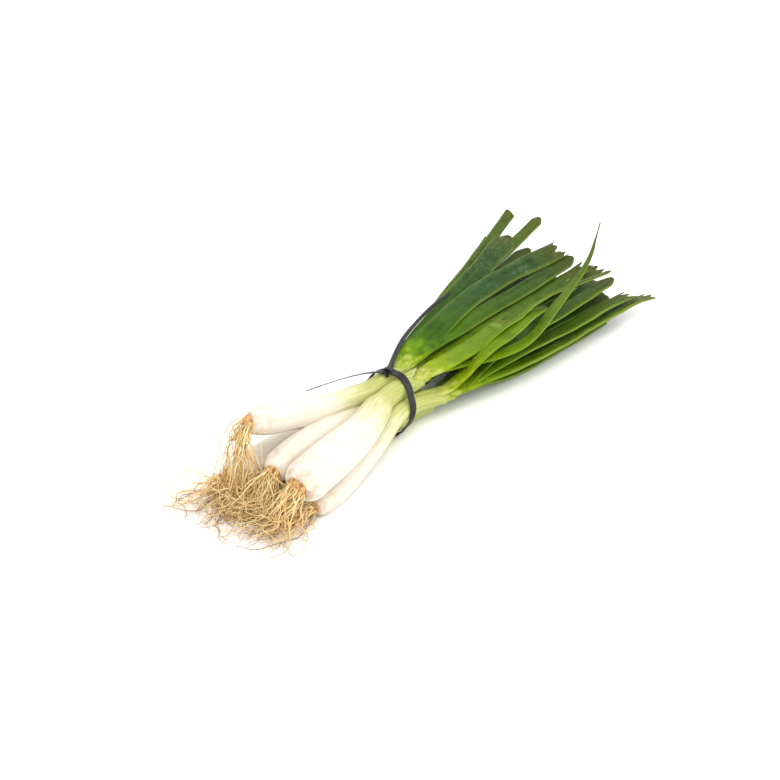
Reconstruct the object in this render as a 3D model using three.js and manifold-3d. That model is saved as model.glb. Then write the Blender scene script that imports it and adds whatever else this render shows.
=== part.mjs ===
// A bunch of seven spring onions lying on a table, tied at the neck with a strip of black plastic.
// Millimetres, +Z up. +X runs from the roots to the leaf tips. The origin is on the table, under the tie.
// The tables below measure x from the middle of the tied necks, and the meshes are moved by FOOT at the end.
//
// Each onion is three pieces: a white shank with its sheath, the green leaves that stand in the mouth
// of the sheath, and the root plate with its roots, which sits in a shallow seat in the bulb's end.

import * as THREE from "three";
import { mergeVertices } from "three/addons/utils/BufferGeometryUtils.js";
import Module from "manifold-3d";

const wasm = await Module();
wasm.setup();

// Driving dimensions
const GAP = 0.35; // clearance between pieces that touch on the real bunch
const NECK_RADIUS = 6.1; // an onion's neck where the strip squeezes it
const NECK_SPACING = 12.6; // between neighbouring necks inside the strip
const NECK_HEIGHT = 18; // middle of the tied necks above the table
const NECK_HALF_LENGTH = 9; // the necks run straight this far each side of the strip
const STRIP_WIDTH = 5;
const STRIP_THICKNESS = 0.8;
const STRIP_LEAN = 0.3; // the loop's top leans this much towards the leaves for each mm of height
const FOOT = NECK_HEIGHT * STRIP_LEAN; // so its foot lies this far back, and that is where the origin is
const PLATE_DEPTH = 1.6; // how deep the root plate sits in the bulb
const SOCKET_DEPTH = 13; // how deep the leaves stand in the sheath
const ROOTS_PER_ONION = 8;
const ROOT_RADIUS = 0.68;
const ROOT_STEPS = 6;
const MAT = new THREE.Vector3(-130, -4, 0); // the middle of the tangle that the roots lie in

const SHANK_SIDES = 12;
const LEAF_SIDES = 8;
const LEAF_RINGS = 8;
const ROOT_SIDES = 3;
const ROOT_RINGS = 6;
const FINENESS = 0.03; // joins and cuts leave no detail smaller than this

// Where each neck sits in the tied bundle: one in the middle, six round it.
const packed = (place) => {
  if (place === null) return [0, NECK_HEIGHT];
  const angle = THREE.MathUtils.degToRad(place * 60);
  return [Math.cos(angle) * NECK_SPACING, NECK_HEIGHT + Math.sin(angle) * NECK_SPACING];
};

// The onions. place is the sixth of the bundle that the neck takes, bend and swell are the shank's
// middle and the thickest part of its bulb, plate is the middle of its root plate, bulb is the bulb's
// radius there, waist is its radius just before the tie, and mouth is where its sheath ends and the
// leaves come out.
const ONIONS = [
  { name: "front_low", place: 3, bend: [-44, -20.5, 12.5], swell: [-77, -25, 8], plate: [-95.5, -25.2, 8],
    bulb: 7.6, waist: 6.9, mouth: [31, -18, 15.5] },
  { name: "middle_front_low", place: 4, bend: [-42, -8.6, 8.6], swell: [-79, -8.6, 8.5], plate: [-99, -8.4, 8.3],
    bulb: 8.2, waist: 6.8, mouth: [28, -9, 8] },
  { name: "middle_back_low", place: 5, bend: [-42, 9.2, 8.4], swell: [-78, 9.4, 8.3], plate: [-96, 9.4, 8.2],
    bulb: 8, waist: 6.8, mouth: [26, 9, 8] },
  { name: "back_low", place: 0, bend: [-44, 23, 12.5], swell: [-88, 29.5, 8.4], plate: [-110, 29, 8.4],
    bulb: 8.6, waist: 6.8, mouth: [30, 17.5, 18.5] },
  { name: "middle_top", place: null, bend: [-46, 2, 25.2], swell: [-83, 1.5, 26], plate: [-102.5, -1.5, 25.4],
    bulb: 8.9, waist: 7.4, mouth: [29, 0.5, 21.5] },
  { name: "front_top", place: 2, bend: [-50, -19.5, 31], swell: [-90, -25, 31.4], plate: [-108, -25.5, 29.5],
    bulb: 12.9, waist: 8.9, mouth: [20, -8.5, 30.5] },
  { name: "back_top", place: 1, bend: [-48, 10.5, 34.5], swell: [-80, 16, 42], plate: [-98, 20.5, 47.5],
    bulb: 8.2, waist: 7, mouth: [18, 7.5, 30] },
];

// The leaves, from the bottom of the pile to the top. via holds the points that the leaf passes after
// the mouth, with its tip last. Heights are the least that the leaf may have: laying them raises it
// over what is under it. half is half its width, thick is half its thickness, roll turns it about
// its length, in degrees, and end is how it ends.
const LEAVES = [
  { onion: "middle_back_low", via: [[110, 21, 3], [203, 36, 1.6]], half: 6.4, thick: 1.8, roll: 4, end: "cut" },
  { onion: "middle_front_low", via: [[110, -10, 3], [199, -18, 1.6]], half: 6.6, thick: 1.8, roll: -5, end: "cut" },
  { onion: "front_low", via: [[88, -24, 3.5], [140, -30, 2.4], [180, -32.5, 2]], half: 5.6, thick: 1.9, roll: -12, end: "cut" },
  { onion: "back_low", via: [[105, 39, 4], [196, 57, 2]], half: 6.2, thick: 1.7, roll: 9, end: "torn" },
  { onion: "middle_front_low", via: [[110, 4, 7], [208, 8, 5]], half: 6, thick: 1.7, roll: 3, end: "torn" },
  { onion: "middle_back_low", via: [[100, 30, 9], [186, 50, 8]], half: 5.6, thick: 1.6, roll: 6, end: "cut" },
  { onion: "middle_front_low", via: [[112, -27, 8], [191, -38, 10]], half: 6, thick: 1.7, roll: -6, end: "torn" },
  { onion: "middle_back_low", via: [[105, 12, 11], [198, 20, 11]], half: 6, thick: 1.6, roll: 0, end: "round" },
  { onion: "front_low", via: [[84, -33, 15], [165, -42, 11], [212, -47, 9]], half: 5.2, thick: 1.9, roll: -18,
    end: "torn" },
  { onion: "middle_front_low", via: [[112, -18, 15], [187, -29, 17]], half: 6, thick: 1.6, roll: -4, end: "cut" },
  { onion: "back_low", via: [[110, 48, 13], [198, 76, 14]], half: 4.2, thick: 1.8, roll: 16, end: "cut" },
  { onion: "middle_top", via: [[110, 2, 20], [203, -11, 22]], half: 5.8, thick: 1.6, roll: 0, end: "torn" },
  { onion: "back_low", via: [[100, 31, 20], [202, 45, 17]], half: 5.8, thick: 1.6, roll: 8, end: "round" },
  { onion: "front_low", via: [[70, -25, 19], [120, -33, 19], [196, -42, 17]], half: 5.6, thick: 1.8, roll: -14,
    end: "torn" },
  { onion: "back_low", via: [[100, 40, 25], [155, 55, 26], [218, 74, 28]], half: 3.6, thick: 1.9, roll: 20, end: "cut" },
  { onion: "middle_top", via: [[110, 14, 26], [183, 10, 27]], half: 6.2, thick: 1.6, roll: 5, end: "cut" },
  { onion: "front_low", via: [[72, -22, 24], [120, -22, 23], [187, -20, 24]], half: 5.6, thick: 1.7, roll: -8,
    end: "cut" },
  { onion: "middle_top", via: [[120, -6, 27], [195, -6, 26]], half: 5, thick: 1.6, roll: 0, end: "torn" },
  { onion: "back_top", via: [[95, 30, 29], [160, 41, 29], [223, 52, 30]], half: 3.7, thick: 1.9, roll: 12,
    end: "round" },
  { onion: "front_top", via: [[62, -20, 28], [120, -27, 27], [193, -30, 27]], half: 5.6, thick: 1.7, roll: -8,
    end: "round" },
  { onion: "back_top", via: [[72, 21, 33], [125, 34, 33], [184, 49, 31]], half: 7.4, thick: 1.6, roll: 14, end: "round" },
  { onion: "middle_top", via: [[92, -10, 33], [136, -10, 32], [180, -11, 30]], half: 6, thick: 1.8, roll: -3, end: "cut" },
  { onion: "back_top", via: [[80, 3, 35], [120, 0, 34], [190, 1, 33]], half: 6, thick: 1.8, roll: 2, end: "round" },
  { onion: "front_top", via: [[60, -16, 33], [96, -20, 32]], half: 7.6, thick: 1.7, roll: -8, end: "torn" },
  { onion: "front_low", via: [[72, -30, 27], [103, -28, 30], [128, -22, 31]], half: 5, thick: 1.7, roll: -14,
    end: "round" },
  { onion: "back_top", via: [[66, 11, 38], [92, 15, 38], [132, 16, 38], [187, 10, 37]], half: 7.4, thick: 1.7, roll: 8,
    end: "torn" },
  { onion: "front_low", via: [[63, -23, 25], [89, -26, 36], [132, -24, 40], [153, -27, 40], [188, -31, 36]],
    half: 2.7, thick: 0.8, roll: -20, end: "round" },
  { onion: "front_low", via: [[51, -22, 21], [66, -36, 30], [93, -39, 36], [119, -35, 40], [147, -30, 43],
    [177, -21, 46], [215, -3, 50]], half: 3.6, thick: 0.8, roll: -25, end: "point" },
];

// The free ends of the strip, past the knot.
const KNOT = [5, 4, NECK_HEIGHT + NECK_SPACING + NECK_RADIUS - 1];
const SHORT_TAIL = [KNOT, [-4, 10, 37.5], [-17, 17, 38], [-45, 26, 38.5]];
const LONG_TAIL = [KNOT, [20, 12, 36], [38, 20, 36.5], [56, 25, 37], [78, 29, 38], [96, 30, 38.5]];

const point = ([x, y, z]) => new THREE.Vector3(x, y, z);
const smoothly = (t) => {
  const held = THREE.MathUtils.clamp(t, 0, 1);
  return held * held * (3 - 2 * held);
};

// A repeatable number from 0 to 1 for each whole number.
const chance = (n) => {
  const s = Math.sin(n * 12.9898 + 4.1414) * 43758.5453;
  return s - Math.floor(s);
};

// Places along a curve, each with its share of the length, its tangent, and a side and an up direction
// that turn no more than the curve does.
function stations(curve, count, roll = 0) {
  const found = [];
  let side = new THREE.Vector3();
  for (let i = 0; i <= count; i++) {
    const share = i / count;
    const ahead = curve.getTangentAt(share);
    if (i === 0) {
      const near = Math.abs(ahead.z) > 0.9 ? new THREE.Vector3(0, 1, 0) : new THREE.Vector3(0, 0, 1);
      side.crossVectors(near, ahead).normalize();
    } else {
      side = side.clone().addScaledVector(ahead, -side.dot(ahead)).normalize();
    }
    const turned = side.clone().applyAxisAngle(ahead, THREE.MathUtils.degToRad(roll));
    found.push({ share, at: curve.getPointAt(share), ahead, side: turned, up: ahead.clone().cross(turned) });
  }
  return found;
}

// A closed solid from rings of points, all with as many points. Each end is closed by a fan to its middle.
function loft(rings, startMiddle, endMiddle) {
  const sides = rings[0].length;
  const places = [...rings.flat(), startMiddle, endMiddle].flatMap((p) => [p.x, p.y, p.z]);
  const corners = [];
  const start = rings.length * sides;
  rings.forEach((ring, r) => {
    for (let i = 0; i < sides; i++) {
      const j = (i + 1) % sides;
      const [a, b] = [r * sides + i, r * sides + j];
      if (r === 0) corners.push(start, b, a);
      if (r === rings.length - 1) corners.push(start + 1, a, b);
      else corners.push(a, b, b + sides, a, b + sides, a + sides);
    }
  });
  const geometry = new THREE.BufferGeometry();
  geometry.setAttribute("position", new THREE.Float32BufferAttribute(places, 3));
  return geometry.setIndex(corners);
}

// An ellipse of points round a station, kept above the table.
function ring(station, half, thick, sides, push = () => 0) {
  return Array.from({ length: sides }, (_, i) => {
    const angle = (2 * Math.PI * i) / sides;
    const p = station.at.clone();
    p.addScaledVector(station.side, half * Math.cos(angle)).addScaledVector(station.up, thick * Math.sin(angle));
    p.addScaledVector(station.ahead, push(angle));
    p.z = Math.max(p.z, 0);
    return p;
  });
}

// A three.js geometry as a manifold-3d solid, and back.
function solid(geometry) {
  const bare = new THREE.BufferGeometry().setAttribute("position", geometry.getAttribute("position"));
  const merged = mergeVertices(bare.setIndex(geometry.index), 1e-3);
  const made = new wasm.Manifold(
    new wasm.Mesh({
      numProp: 3,
      vertProperties: new Float32Array(merged.attributes.position.array),
      triVerts: new Uint32Array(merged.index.array),
    }),
  );
  if (made.volume() < 0) throw new Error("a solid is inside out");
  return made.setTolerance(FINENESS);
}

function geometryOf(manifold) {
  const mesh = manifold.getMesh();
  const geometry = new THREE.BufferGeometry();
  geometry.setAttribute("position", new THREE.BufferAttribute(mesh.vertProperties, 3));
  return geometry.setIndex(new THREE.BufferAttribute(mesh.triVerts, 1));
}

// The largest connected body of a solid: what a cut leaves loose is dropped.
function largest(manifold) {
  return manifold.decompose().reduce((best, body) => (body.volume() > best.volume() ? body : best));
}

// A shank's centre line, from its root plate through the tie to the mouth of its sheath.
function shankCurve(onion) {
  const [y, z] = packed(onion.place);
  return new THREE.CatmullRomCurve3(
    [
      point(onion.plate),
      point(onion.swell),
      point(onion.bend),
      new THREE.Vector3(-NECK_HALF_LENGTH, y, z),
      new THREE.Vector3(NECK_HALF_LENGTH, y, z),
      point(onion.mouth),
    ],
    false,
    "centripetal",
  );
}

// A bulb swells from its plate, thins to the neck and opens a little again at the mouth.
function shankHalves(onion, station, length) {
  const along = station.share * length;
  const dome = Math.sqrt(Math.max(0, 1 - (1 - Math.min(1, along / 9)) ** 2));
  const swollen = onion.bulb * (0.6 + 0.4 * dome);
  const x = station.at.x;
  const thinning = smoothly((x + 88) / 70);
  const body = THREE.MathUtils.lerp(swollen, onion.waist, thinning);
  const squeezed = THREE.MathUtils.lerp(body, NECK_RADIUS, smoothly((x + 24) / 14));
  const opening = smoothly((x - 8) / 20);
  return [
    THREE.MathUtils.lerp(squeezed, 6.9, opening),
    THREE.MathUtils.lerp(squeezed, 4.9, opening),
  ];
}

function shankSolid(onion, extra = 0) {
  const curve = shankCurve(onion);
  const length = curve.getLength();
  const shares = [0, 0.015, 0.05, 0.11, 0.22, 0.34, 0.48, 0.62, 0.72, 0.82, 0.92, 1];
  const all = stations(curve, 200);
  const beyond = (share) => (share === 0 ? -2 * extra : share === 1 ? 2 * extra : 0);
  const rings = shares.map((share) => {
    const station = all[Math.round(share * 200)];
    const [half, thick] = shankHalves(onion, station, length);
    const slant = share === 1 ? 3.2 : 0;
    const push = (angle) => slant * Math.sin(angle) + beyond(share);
    return ring(station, half + extra, thick + extra, SHANK_SIDES, push);
  });
  const capped = (share) => all[share * 200].at.clone().addScaledVector(all[share * 200].ahead, beyond(share));
  return solid(loft(rings, capped(0), capped(1)));
}

// The part of the leaves that stands in the sheath's mouth.
function coreSolid(onion, extra = 0) {
  const curve = shankCurve(onion);
  const length = curve.getLength();
  const all = stations(curve, 200);
  const from = all[Math.round(200 * (1 - (SOCKET_DEPTH + extra) / length))];
  const to = all[200];
  const past = { ...to, at: to.at.clone().addScaledVector(to.ahead, 6) };
  const rings = [from, to, past].map((s) => ring(s, 4.6 + extra, 2.9 + extra, 10));
  return solid(loft(rings, from.at, past.at));
}

// Half width and half thickness along a leaf, which leaves the sheath narrow and then opens.
function leafHalves(leaf, along, length) {
  const opening = smoothly(along / 38);
  const left = length - along;
  let close = 1;
  if (leaf.end === "point") close = Math.max(0.12, Math.min(1, left / 95));
  if (leaf.end === "round") close = Math.max(0.3, Math.sqrt(Math.min(1, left / (1.6 * leaf.half) + 0.05)));
  const half = THREE.MathUtils.lerp(Math.min(leaf.half, 3.6), leaf.half, opening) * close;
  const thick = THREE.MathUtils.lerp(Math.min(2.4, leaf.half), leaf.thick, opening);
  return [half, Math.min(thick, Math.max(0.35, half))];
}

// A leaf's line before it is laid: out of the mouth and through its points.
function leafCurve(leaf) {
  const onion = ONIONS.find((o) => o.name === leaf.onion);
  const end = shankCurve(onion);
  const mouth = end.getPointAt(1);
  const ahead = end.getTangentAt(1);
  const inside = mouth.clone().addScaledVector(ahead, -7);
  const outside = mouth.clone().addScaledVector(ahead, 7);
  return new THREE.CatmullRomCurve3([inside, outside, ...leaf.via.map(point)], false, "centripetal");
}

// Lays the leaves one on another. tops holds the height of what lies at each place so far, on a grid. A leaf
// is raised where it would sink into what is under it, and the rise fades out along it, as a stiff leaf's does.
const CELL = 2;
const LAID_STEPS = 60;
const FADE = 46;
const FREE_BASE = 34;
const NESTED = 80; // leaves of one onion stay nested in each other this far from their sheath
function layLeaves() {
  const tops = new Map();
  const key = (x, y) => Math.round(x / CELL) + "," + Math.round(y / CELL);
  return LEAVES.map((leaf) => {
    const curve = leafCurve(leaf);
    const length = curve.getLength();
    const all = stations(curve, LAID_STEPS, leaf.roll);
    const across = [-0.9, -0.6, -0.3, 0, 0.3, 0.6, 0.9];
    const needed = all.map((s) => {
      const along = s.share * length;
      const [half, thick] = leafHalves(leaf, along, length);
      let rise = Math.max(0, thick - s.at.z);
      if (along < FREE_BASE * 0.5) return rise;
      for (const t of across) {
        const p = s.at.clone().addScaledVector(s.side, t * half);
        for (const [onion, top] of tops.get(key(p.x, p.y)) ?? []) {
          if (onion === leaf.onion && along < NESTED) continue;
          rise = Math.max(rise, top + thick * Math.sqrt(1 - t * t) + GAP - p.z);
        }
      }
      return rise * smoothly(along / FREE_BASE - 0.5);
    });
    const rises = all.map((s, i) =>
      needed.reduce((most, rise, j) => {
        const apart = Math.min(1, (Math.abs(i - j) * length) / LAID_STEPS / FADE);
        return Math.max(most, rise * Math.cos((apart * Math.PI) / 2) ** 2);
      }, 0),
    );
    const laid = all.map((s, i) => s.at.clone().add(new THREE.Vector3(0, 0, rises[i])));
    all.forEach((s, i) => {
      const along = s.share * length;
      const [half, thick] = leafHalves(leaf, along, length);
      if (along < FREE_BASE * 0.5) return;
      for (let t = -1; t <= 1; t += 0.125) {
        const p = laid[i].clone().addScaledVector(s.side, t * half);
        const top = p.z + thick * Math.sqrt(1 - t * t);
        const here = tops.get(key(p.x, p.y)) ?? new Map();
        here.set(leaf.onion, Math.max(here.get(leaf.onion) ?? 0, top));
        tops.set(key(p.x, p.y), here);
      }
    });
    return { ...leaf, curve: new THREE.CatmullRomCurve3(laid, false, "centripetal") };
  });
}

// How far each point of a leaf's last ring stands past or short of the cut.
const ENDS = {
  cut: (angle) => 1.2 * Math.cos(angle),
  torn: (angle) => 2.6 * Math.sin(3 * angle + 1) + 1.2 * Math.cos(angle),
  round: () => 0,
  point: () => 0,
};

function leafSolid(leaf, extra = 0) {
  const length = leaf.curve.getLength();
  const all = stations(leaf.curve, 240, leaf.roll);
  const rings = [];
  for (let i = 0; i <= LEAF_RINGS; i++) {
    const even = i / LEAF_RINGS;
    const share = leaf.end === "round" ? 1 - (1 - even) ** 1.35 : even;
    const station = all[Math.round(share * 240)];
    const [half, thick] = leafHalves(leaf, station.share * length, length);
    const push = i === LEAF_RINGS ? ENDS[leaf.end] : undefined;
    rings.push(ring(station, half + extra, thick + extra, LEAF_SIDES, push));
  }
  const last = all[240];
  const hollow = leaf.end === "cut" || leaf.end === "torn";
  const middle = last.at.clone();
  if (hollow && extra === 0) {
    const [half, thick] = leafHalves(leaf, length, length);
    const wall = 0.7;
    rings.push(ring(last, half - wall, thick - wall, LEAF_SIDES, ENDS[leaf.end]));
    middle.addScaledVector(last.ahead, -7);
  }
  return solid(loft(rings, all[0].at, middle));
}

// A root leaves its plate, droops to the table or onto the roots that lie there, and wanders along.
function rootCurve(onion, number, attempt) {
  const seed = number * 7919 + attempt * 104729 + ONIONS.indexOf(onion) * 15485;
  const curve = shankCurve(onion);
  const out = curve.getTangentAt(0).negate();
  const start = curve.getPointAt(0).addScaledVector(out, 0.2);
  const side = new THREE.Vector3(0, 0, 1).cross(out).normalize();
  const over = out.clone().cross(side);
  const round = number * 2.39996 + chance(seed);
  const reach = Math.sqrt((number + 0.5) / ROOTS_PER_ONION) * onion.bulb * 0.38;
  const at = start.clone();
  at.addScaledVector(side, reach * Math.cos(round)).addScaledVector(over, reach * Math.sin(round));
  const lean = 0.35 + 0.5 * chance(seed + 1);
  const heading = out.clone().addScaledVector(side, lean * Math.cos(round)).addScaledVector(over, lean * Math.sin(round));
  heading.normalize();
  const length = 26 + 24 * chance(seed + 2) + 0.5 * start.z;
  const rest = 0.9 + 9 * chance(seed + 3) ** 1.5;
  const turn = 1.6 * (chance(seed + 4) - 0.5);
  const step = length / ROOT_STEPS;
  const inside = at.clone().addScaledVector(out, -1.4);
  at.addScaledVector(out, 2.8);
  const places = [inside, at.clone()];
  for (let i = 0; i < ROOT_STEPS; i++) {
    const inwards = MAT.clone().sub(at).setZ(0).normalize();
    heading.addScaledVector(inwards, 0.16);
    heading.z -= 0.34 + 0.012 * start.z;
    heading.applyAxisAngle(new THREE.Vector3(0, 0, 1), turn * 0.22 + 0.5 * (chance(seed + 10 + i) - 0.5));
    heading.normalize();
    at.addScaledVector(heading, step);
    if (at.z < rest) {
      at.z = rest;
      heading.z = 0;
    }
    places.push(at.clone());
  }
  return places;
}

// Shortest distance between two straight stretches, by sampling.
function apart(a, b, c, d) {
  let least = Infinity;
  for (let i = 0; i <= 4; i++) {
    const p = a.clone().lerp(b, i / 4);
    const q = new THREE.Line3(c, d).closestPointToPoint(p, true, new THREE.Vector3());
    least = Math.min(least, p.distanceTo(q));
  }
  return least;
}

// Draws each root again until it keeps clear of the other onions' roots and of every bulb.
function growRoots() {
  const bulbs = ONIONS.map((onion) => {
    const curve = shankCurve(onion);
    const length = curve.getLength();
    return stations(curve, 30).map((s) => ({ at: s.at, radius: shankHalves(onion, s, length)[0], onion }));
  }).flat();
  const placed = [];
  const far = 2 * ROOT_RADIUS + GAP;
  return ONIONS.map((onion) => {
    const own = [];
    for (let number = 0; number < ROOTS_PER_ONION; number++) {
      for (let attempt = 0; attempt < 60; attempt++) {
        const places = rootCurve(onion, number, attempt);
        const clearOfBulbs = places
          .slice(2)
          .every((p) => bulbs.every((b) => p.distanceTo(b.at) > b.radius + ROOT_RADIUS + 0.8));
        const clearOfRoots = placed.every((other) =>
          places.slice(0, -1).every((p, i) =>
            other.slice(0, -1).every((q, j) => apart(p, places[i + 1], q, other[j + 1]) > far),
          ),
        );
        if (clearOfBulbs && clearOfRoots) {
          own.push(places);
          break;
        }
      }
    }
    placed.push(...own);
    return own;
  });
}

function rootSolid(places, extra = 0) {
  const curve = new THREE.CatmullRomCurve3(places, false, "centripetal");
  const all = stations(curve, ROOT_RINGS);
  const rings = all.map((s) => {
    const radius = ROOT_RADIUS * (1.25 - 0.65 * s.share) + extra;
    return ring(s, radius, radius, ROOT_SIDES);
  });
  return solid(loft(rings, all[0].at, all[all.length - 1].at));
}

// The root plate: a low dome that sits in the bulb's end.
function plateSolid(onion, extra = 0) {
  const curve = shankCurve(onion);
  const station = stations(curve, 200)[0];
  const radius = onion.bulb * 0.44;
  const at = (along) => ({ ...station, at: station.at.clone().addScaledVector(station.ahead, along) });
  const profile = [[PLATE_DEPTH + extra, 0.92], [0, 1], [-1.3, 0.82], [-2.1, 0.45]];
  const rings = profile
    .map(([along, wide]) => ring(at(along), radius * wide + extra, radius * wide + extra, 12))
    .reverse();
  return solid(loft(rings, at(-2.3).at, at(PLATE_DEPTH + extra).at));
}

// The strip's loop: the outline of the tied necks as seen along X, a little larger, leaning to the leaves.
function loopSolid() {
  const necks = ONIONS.map((onion) => packed(onion.place));
  const count = 30;
  const outline = Array.from({ length: count }, (_, i) => {
    const angle = (2 * Math.PI * (i + 0.5)) / count;
    const [uy, uz] = [Math.cos(angle), Math.sin(angle)];
    const [y, z] = necks.reduce((far, n) => (n[0] * uy + n[1] * uz > far[0] * uy + far[1] * uz ? n : far));
    return { y, z, uy, uz };
  });
  const across = [
    [-STRIP_WIDTH / 2, 0],
    [STRIP_WIDTH / 2, 0],
    [STRIP_WIDTH / 2, STRIP_THICKNESS],
    [-STRIP_WIDTH / 2, STRIP_THICKNESS],
  ];
  const inner = NECK_RADIUS + GAP - 0.05;
  const rings = outline.map(({ y, z, uy, uz }) =>
    across.map(([along, out]) => {
      const height = z + uz * (inner + out);
      const lean = (height - NECK_HEIGHT) * STRIP_LEAN;
      return new THREE.Vector3(along + lean, y + uy * (inner + out), Math.max(0, height));
    }),
  );
  const places = rings.flat().flatMap((p) => [p.x, p.y, p.z]);
  const corners = [];
  rings.forEach((_, r) => {
    for (let i = 0; i < 4; i++) {
      const j = (i + 1) % 4;
      const next = ((r + 1) % count) * 4;
      const [a, b] = [r * 4 + i, r * 4 + j];
      corners.push(a, b, next + j, a, next + j, next + i);
    }
  });
  const geometry = new THREE.BufferGeometry();
  geometry.setAttribute("position", new THREE.Float32BufferAttribute(places, 3));
  return solid(geometry.setIndex(corners));
}

// A flat free end of the strip, twisting as it goes.
function tailSolid(places, startTurn, endTurn, wide, narrow) {
  const curve = new THREE.CatmullRomCurve3(places.map(point), false, "centripetal");
  const all = stations(curve, 9);
  const rings = all.map((s) => {
    const turn = THREE.MathUtils.degToRad(THREE.MathUtils.lerp(startTurn, endTurn, s.share));
    const side = s.side.clone().applyAxisAngle(s.ahead, turn);
    const turned = { ...s, side, up: s.ahead.clone().cross(side) };
    return ring(turned, THREE.MathUtils.lerp(wide, narrow, s.share), 0.4, 4);
  });
  return solid(loft(rings, all[0].at, all[9].at));
}

function knotSolid() {
  const knot = new THREE.SphereGeometry(1, 10, 6);
  knot.deleteAttribute("normal");
  knot.deleteAttribute("uv");
  knot.scale(3.6, 3, 1.9);
  knot.translate(...KNOT);
  return solid(mergeVertices(knot, 1e-3));
}

// The materials
const finish = (color, roughness) => new THREE.MeshStandardMaterial({ color, roughness, metalness: 0 });
const SHANK_FINISH = finish("#ece6d2", 0.45);
const LEAF_FINISH = finish("#3f6a1c", 0.5);
const ROOT_FINISH = finish("#cda566", 0.8);
const STRIP_FINISH = finish("#1d1b1e", 0.4);

const bunch = new THREE.Group();
bunch.name = "spring_onion_bunch";

function add(name, manifold, material) {
  const mesh = new THREE.Mesh(geometryOf(manifold), material);
  mesh.name = name;
  mesh.position.x = FOOT;
  bunch.add(mesh);
}

const laid = layLeaves();
const roots = growRoots();
const union = (solids) => wasm.Manifold.union(solids);

// Everything that a later piece has to keep clear of, a gap larger than it is.
const taken = [];
const clearOf = (manifold) => (taken.length ? largest(manifold.subtract(union(taken))) : manifold);

const strip = union([
  loopSolid(),
  knotSolid(),
  tailSolid(SHORT_TAIL, 0, 70, 1.9, 0.6),
  tailSolid(LONG_TAIL, 0, 25, 2.2, 1.4),
]);
ONIONS.forEach((onion) => {
  const shank = shankSolid(onion).subtract(union([coreSolid(onion, GAP), plateSolid(onion, GAP)]));
  add(onion.name + "_shank", clearOf(shank), SHANK_FINISH);
  taken.push(shankSolid(onion, GAP));
});
const stripClear = clearOf(strip);
add("tie", stripClear, STRIP_FINISH);

const cores = ONIONS.map((onion) => coreSolid(onion));
ONIONS.forEach((onion, i) => {
  const others = ONIONS.filter((o) => o !== onion).map((o) => shankSolid(o, GAP));
  const ownShank = shankSolid(onion, GAP).subtract(coreSolid(onion, 0.02));
  const mine = laid.filter((leaf) => leaf.onion === onion.name).map((leaf) => leafSolid(leaf));
  const before = laid.filter((leaf) => ONIONS.findIndex((o) => o.name === leaf.onion) < i);
  const blocked = union([...others, ownShank, ...before.map((leaf) => leafSolid(leaf, GAP))]);
  add(onion.name + "_leaves", largest(union([cores[i], ...mine]).subtract(blocked)), LEAF_FINISH);
});

ONIONS.forEach((onion, i) => {
  const tuft = union([plateSolid(onion), ...roots[i].map((places) => rootSolid(places))]);
  const others = ONIONS.filter((o) => o !== onion).map((o) => shankSolid(o, GAP));
  const ownShank = shankSolid(onion, GAP).subtract(plateSolid(onion, 0.02));
  const before = roots.slice(0, i).flat().map((places) => rootSolid(places, GAP / 2));
  add(onion.name + "_roots", largest(tuft.subtract(union([...others, ownShank, ...before]))), ROOT_FINISH);
});

export default bunch;
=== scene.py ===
"""A bunch of seven spring onions on a pale table, tied at the neck with a strip of black plastic.

The sizes below are in millimetres, with x measured from the middle of the tied necks. A mesh gets its
place in metres in the shared frame, whose origin is under the strip's foot.
"""

import logging
import math
import random
from dataclasses import dataclass, field
from enum import Enum, IntEnum
from typing import Mapping, Optional, Sequence, Union

import bpy
import numpy as np
from mathutils import Matrix, Vector


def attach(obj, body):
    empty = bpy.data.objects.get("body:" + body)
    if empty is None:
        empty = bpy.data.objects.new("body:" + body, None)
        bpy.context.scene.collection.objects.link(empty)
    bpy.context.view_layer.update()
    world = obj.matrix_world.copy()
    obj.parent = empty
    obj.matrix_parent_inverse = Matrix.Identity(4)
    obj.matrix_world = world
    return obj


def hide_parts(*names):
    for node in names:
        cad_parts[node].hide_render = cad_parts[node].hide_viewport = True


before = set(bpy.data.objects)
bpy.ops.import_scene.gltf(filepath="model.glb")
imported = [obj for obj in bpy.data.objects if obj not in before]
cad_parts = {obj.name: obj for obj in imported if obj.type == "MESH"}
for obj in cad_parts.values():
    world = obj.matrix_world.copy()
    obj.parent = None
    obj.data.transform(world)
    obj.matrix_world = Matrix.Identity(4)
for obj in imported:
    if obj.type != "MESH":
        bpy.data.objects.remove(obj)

LOG = logging.getLogger("spring_onions")

MM = 0.001
GAP = 0.35  # aimed at between pieces that touch on the real bunch
NECK_RADIUS = 6.1
NECK_SPACING = 12.6
NECK_HEIGHT = 18.0
NECK_HALF_LENGTH = 9.0
STRIP_WIDTH = 5.0
STRIP_LEAN = 0.3  # how far the loop leans to the leaves for each millimetre of height
FOOT = NECK_HEIGHT * STRIP_LEAN
MAT_MIDDLE = np.array([-138.0, 2.0, 0.0])  # the roots droop towards here
TURN = 2 * math.pi
GRAIN_RATE = 0.01
LINE_STEPS = 200  # on a shank's centre line, where only its ends are needed

Point = Sequence[float]
Number = Union[float, "Value"]
Colour = Union[str, "Value"]
Amount = Union[float, np.ndarray]


class End(Enum):
    """How a leaf ends."""

    CUT = "cut"
    TORN = "torn"
    ROUND = "round"
    POINT = "point"


class Seed(IntEnum):
    """Where each kind of random draw starts; a piece's own number is added."""

    LEAF_WIDTH = 0
    SHANK_LUMPS = 40
    TEAR = 70
    STRIP_WAVE = 77
    RIBBON = 91
    STRIP_FOLDS = 170
    LEAF_ROLL = 300
    CHANNEL = 500
    CHANNEL_DRIFT = 600
    LEAF_RIPPLE = 800
    RIBS = 900
    FOLD_PLACE = 1100
    FOLD_DEPTH = 1400
    LEAF_SHADE = 2000
    COLLAR = 3000
    PLATE = 5000


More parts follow.
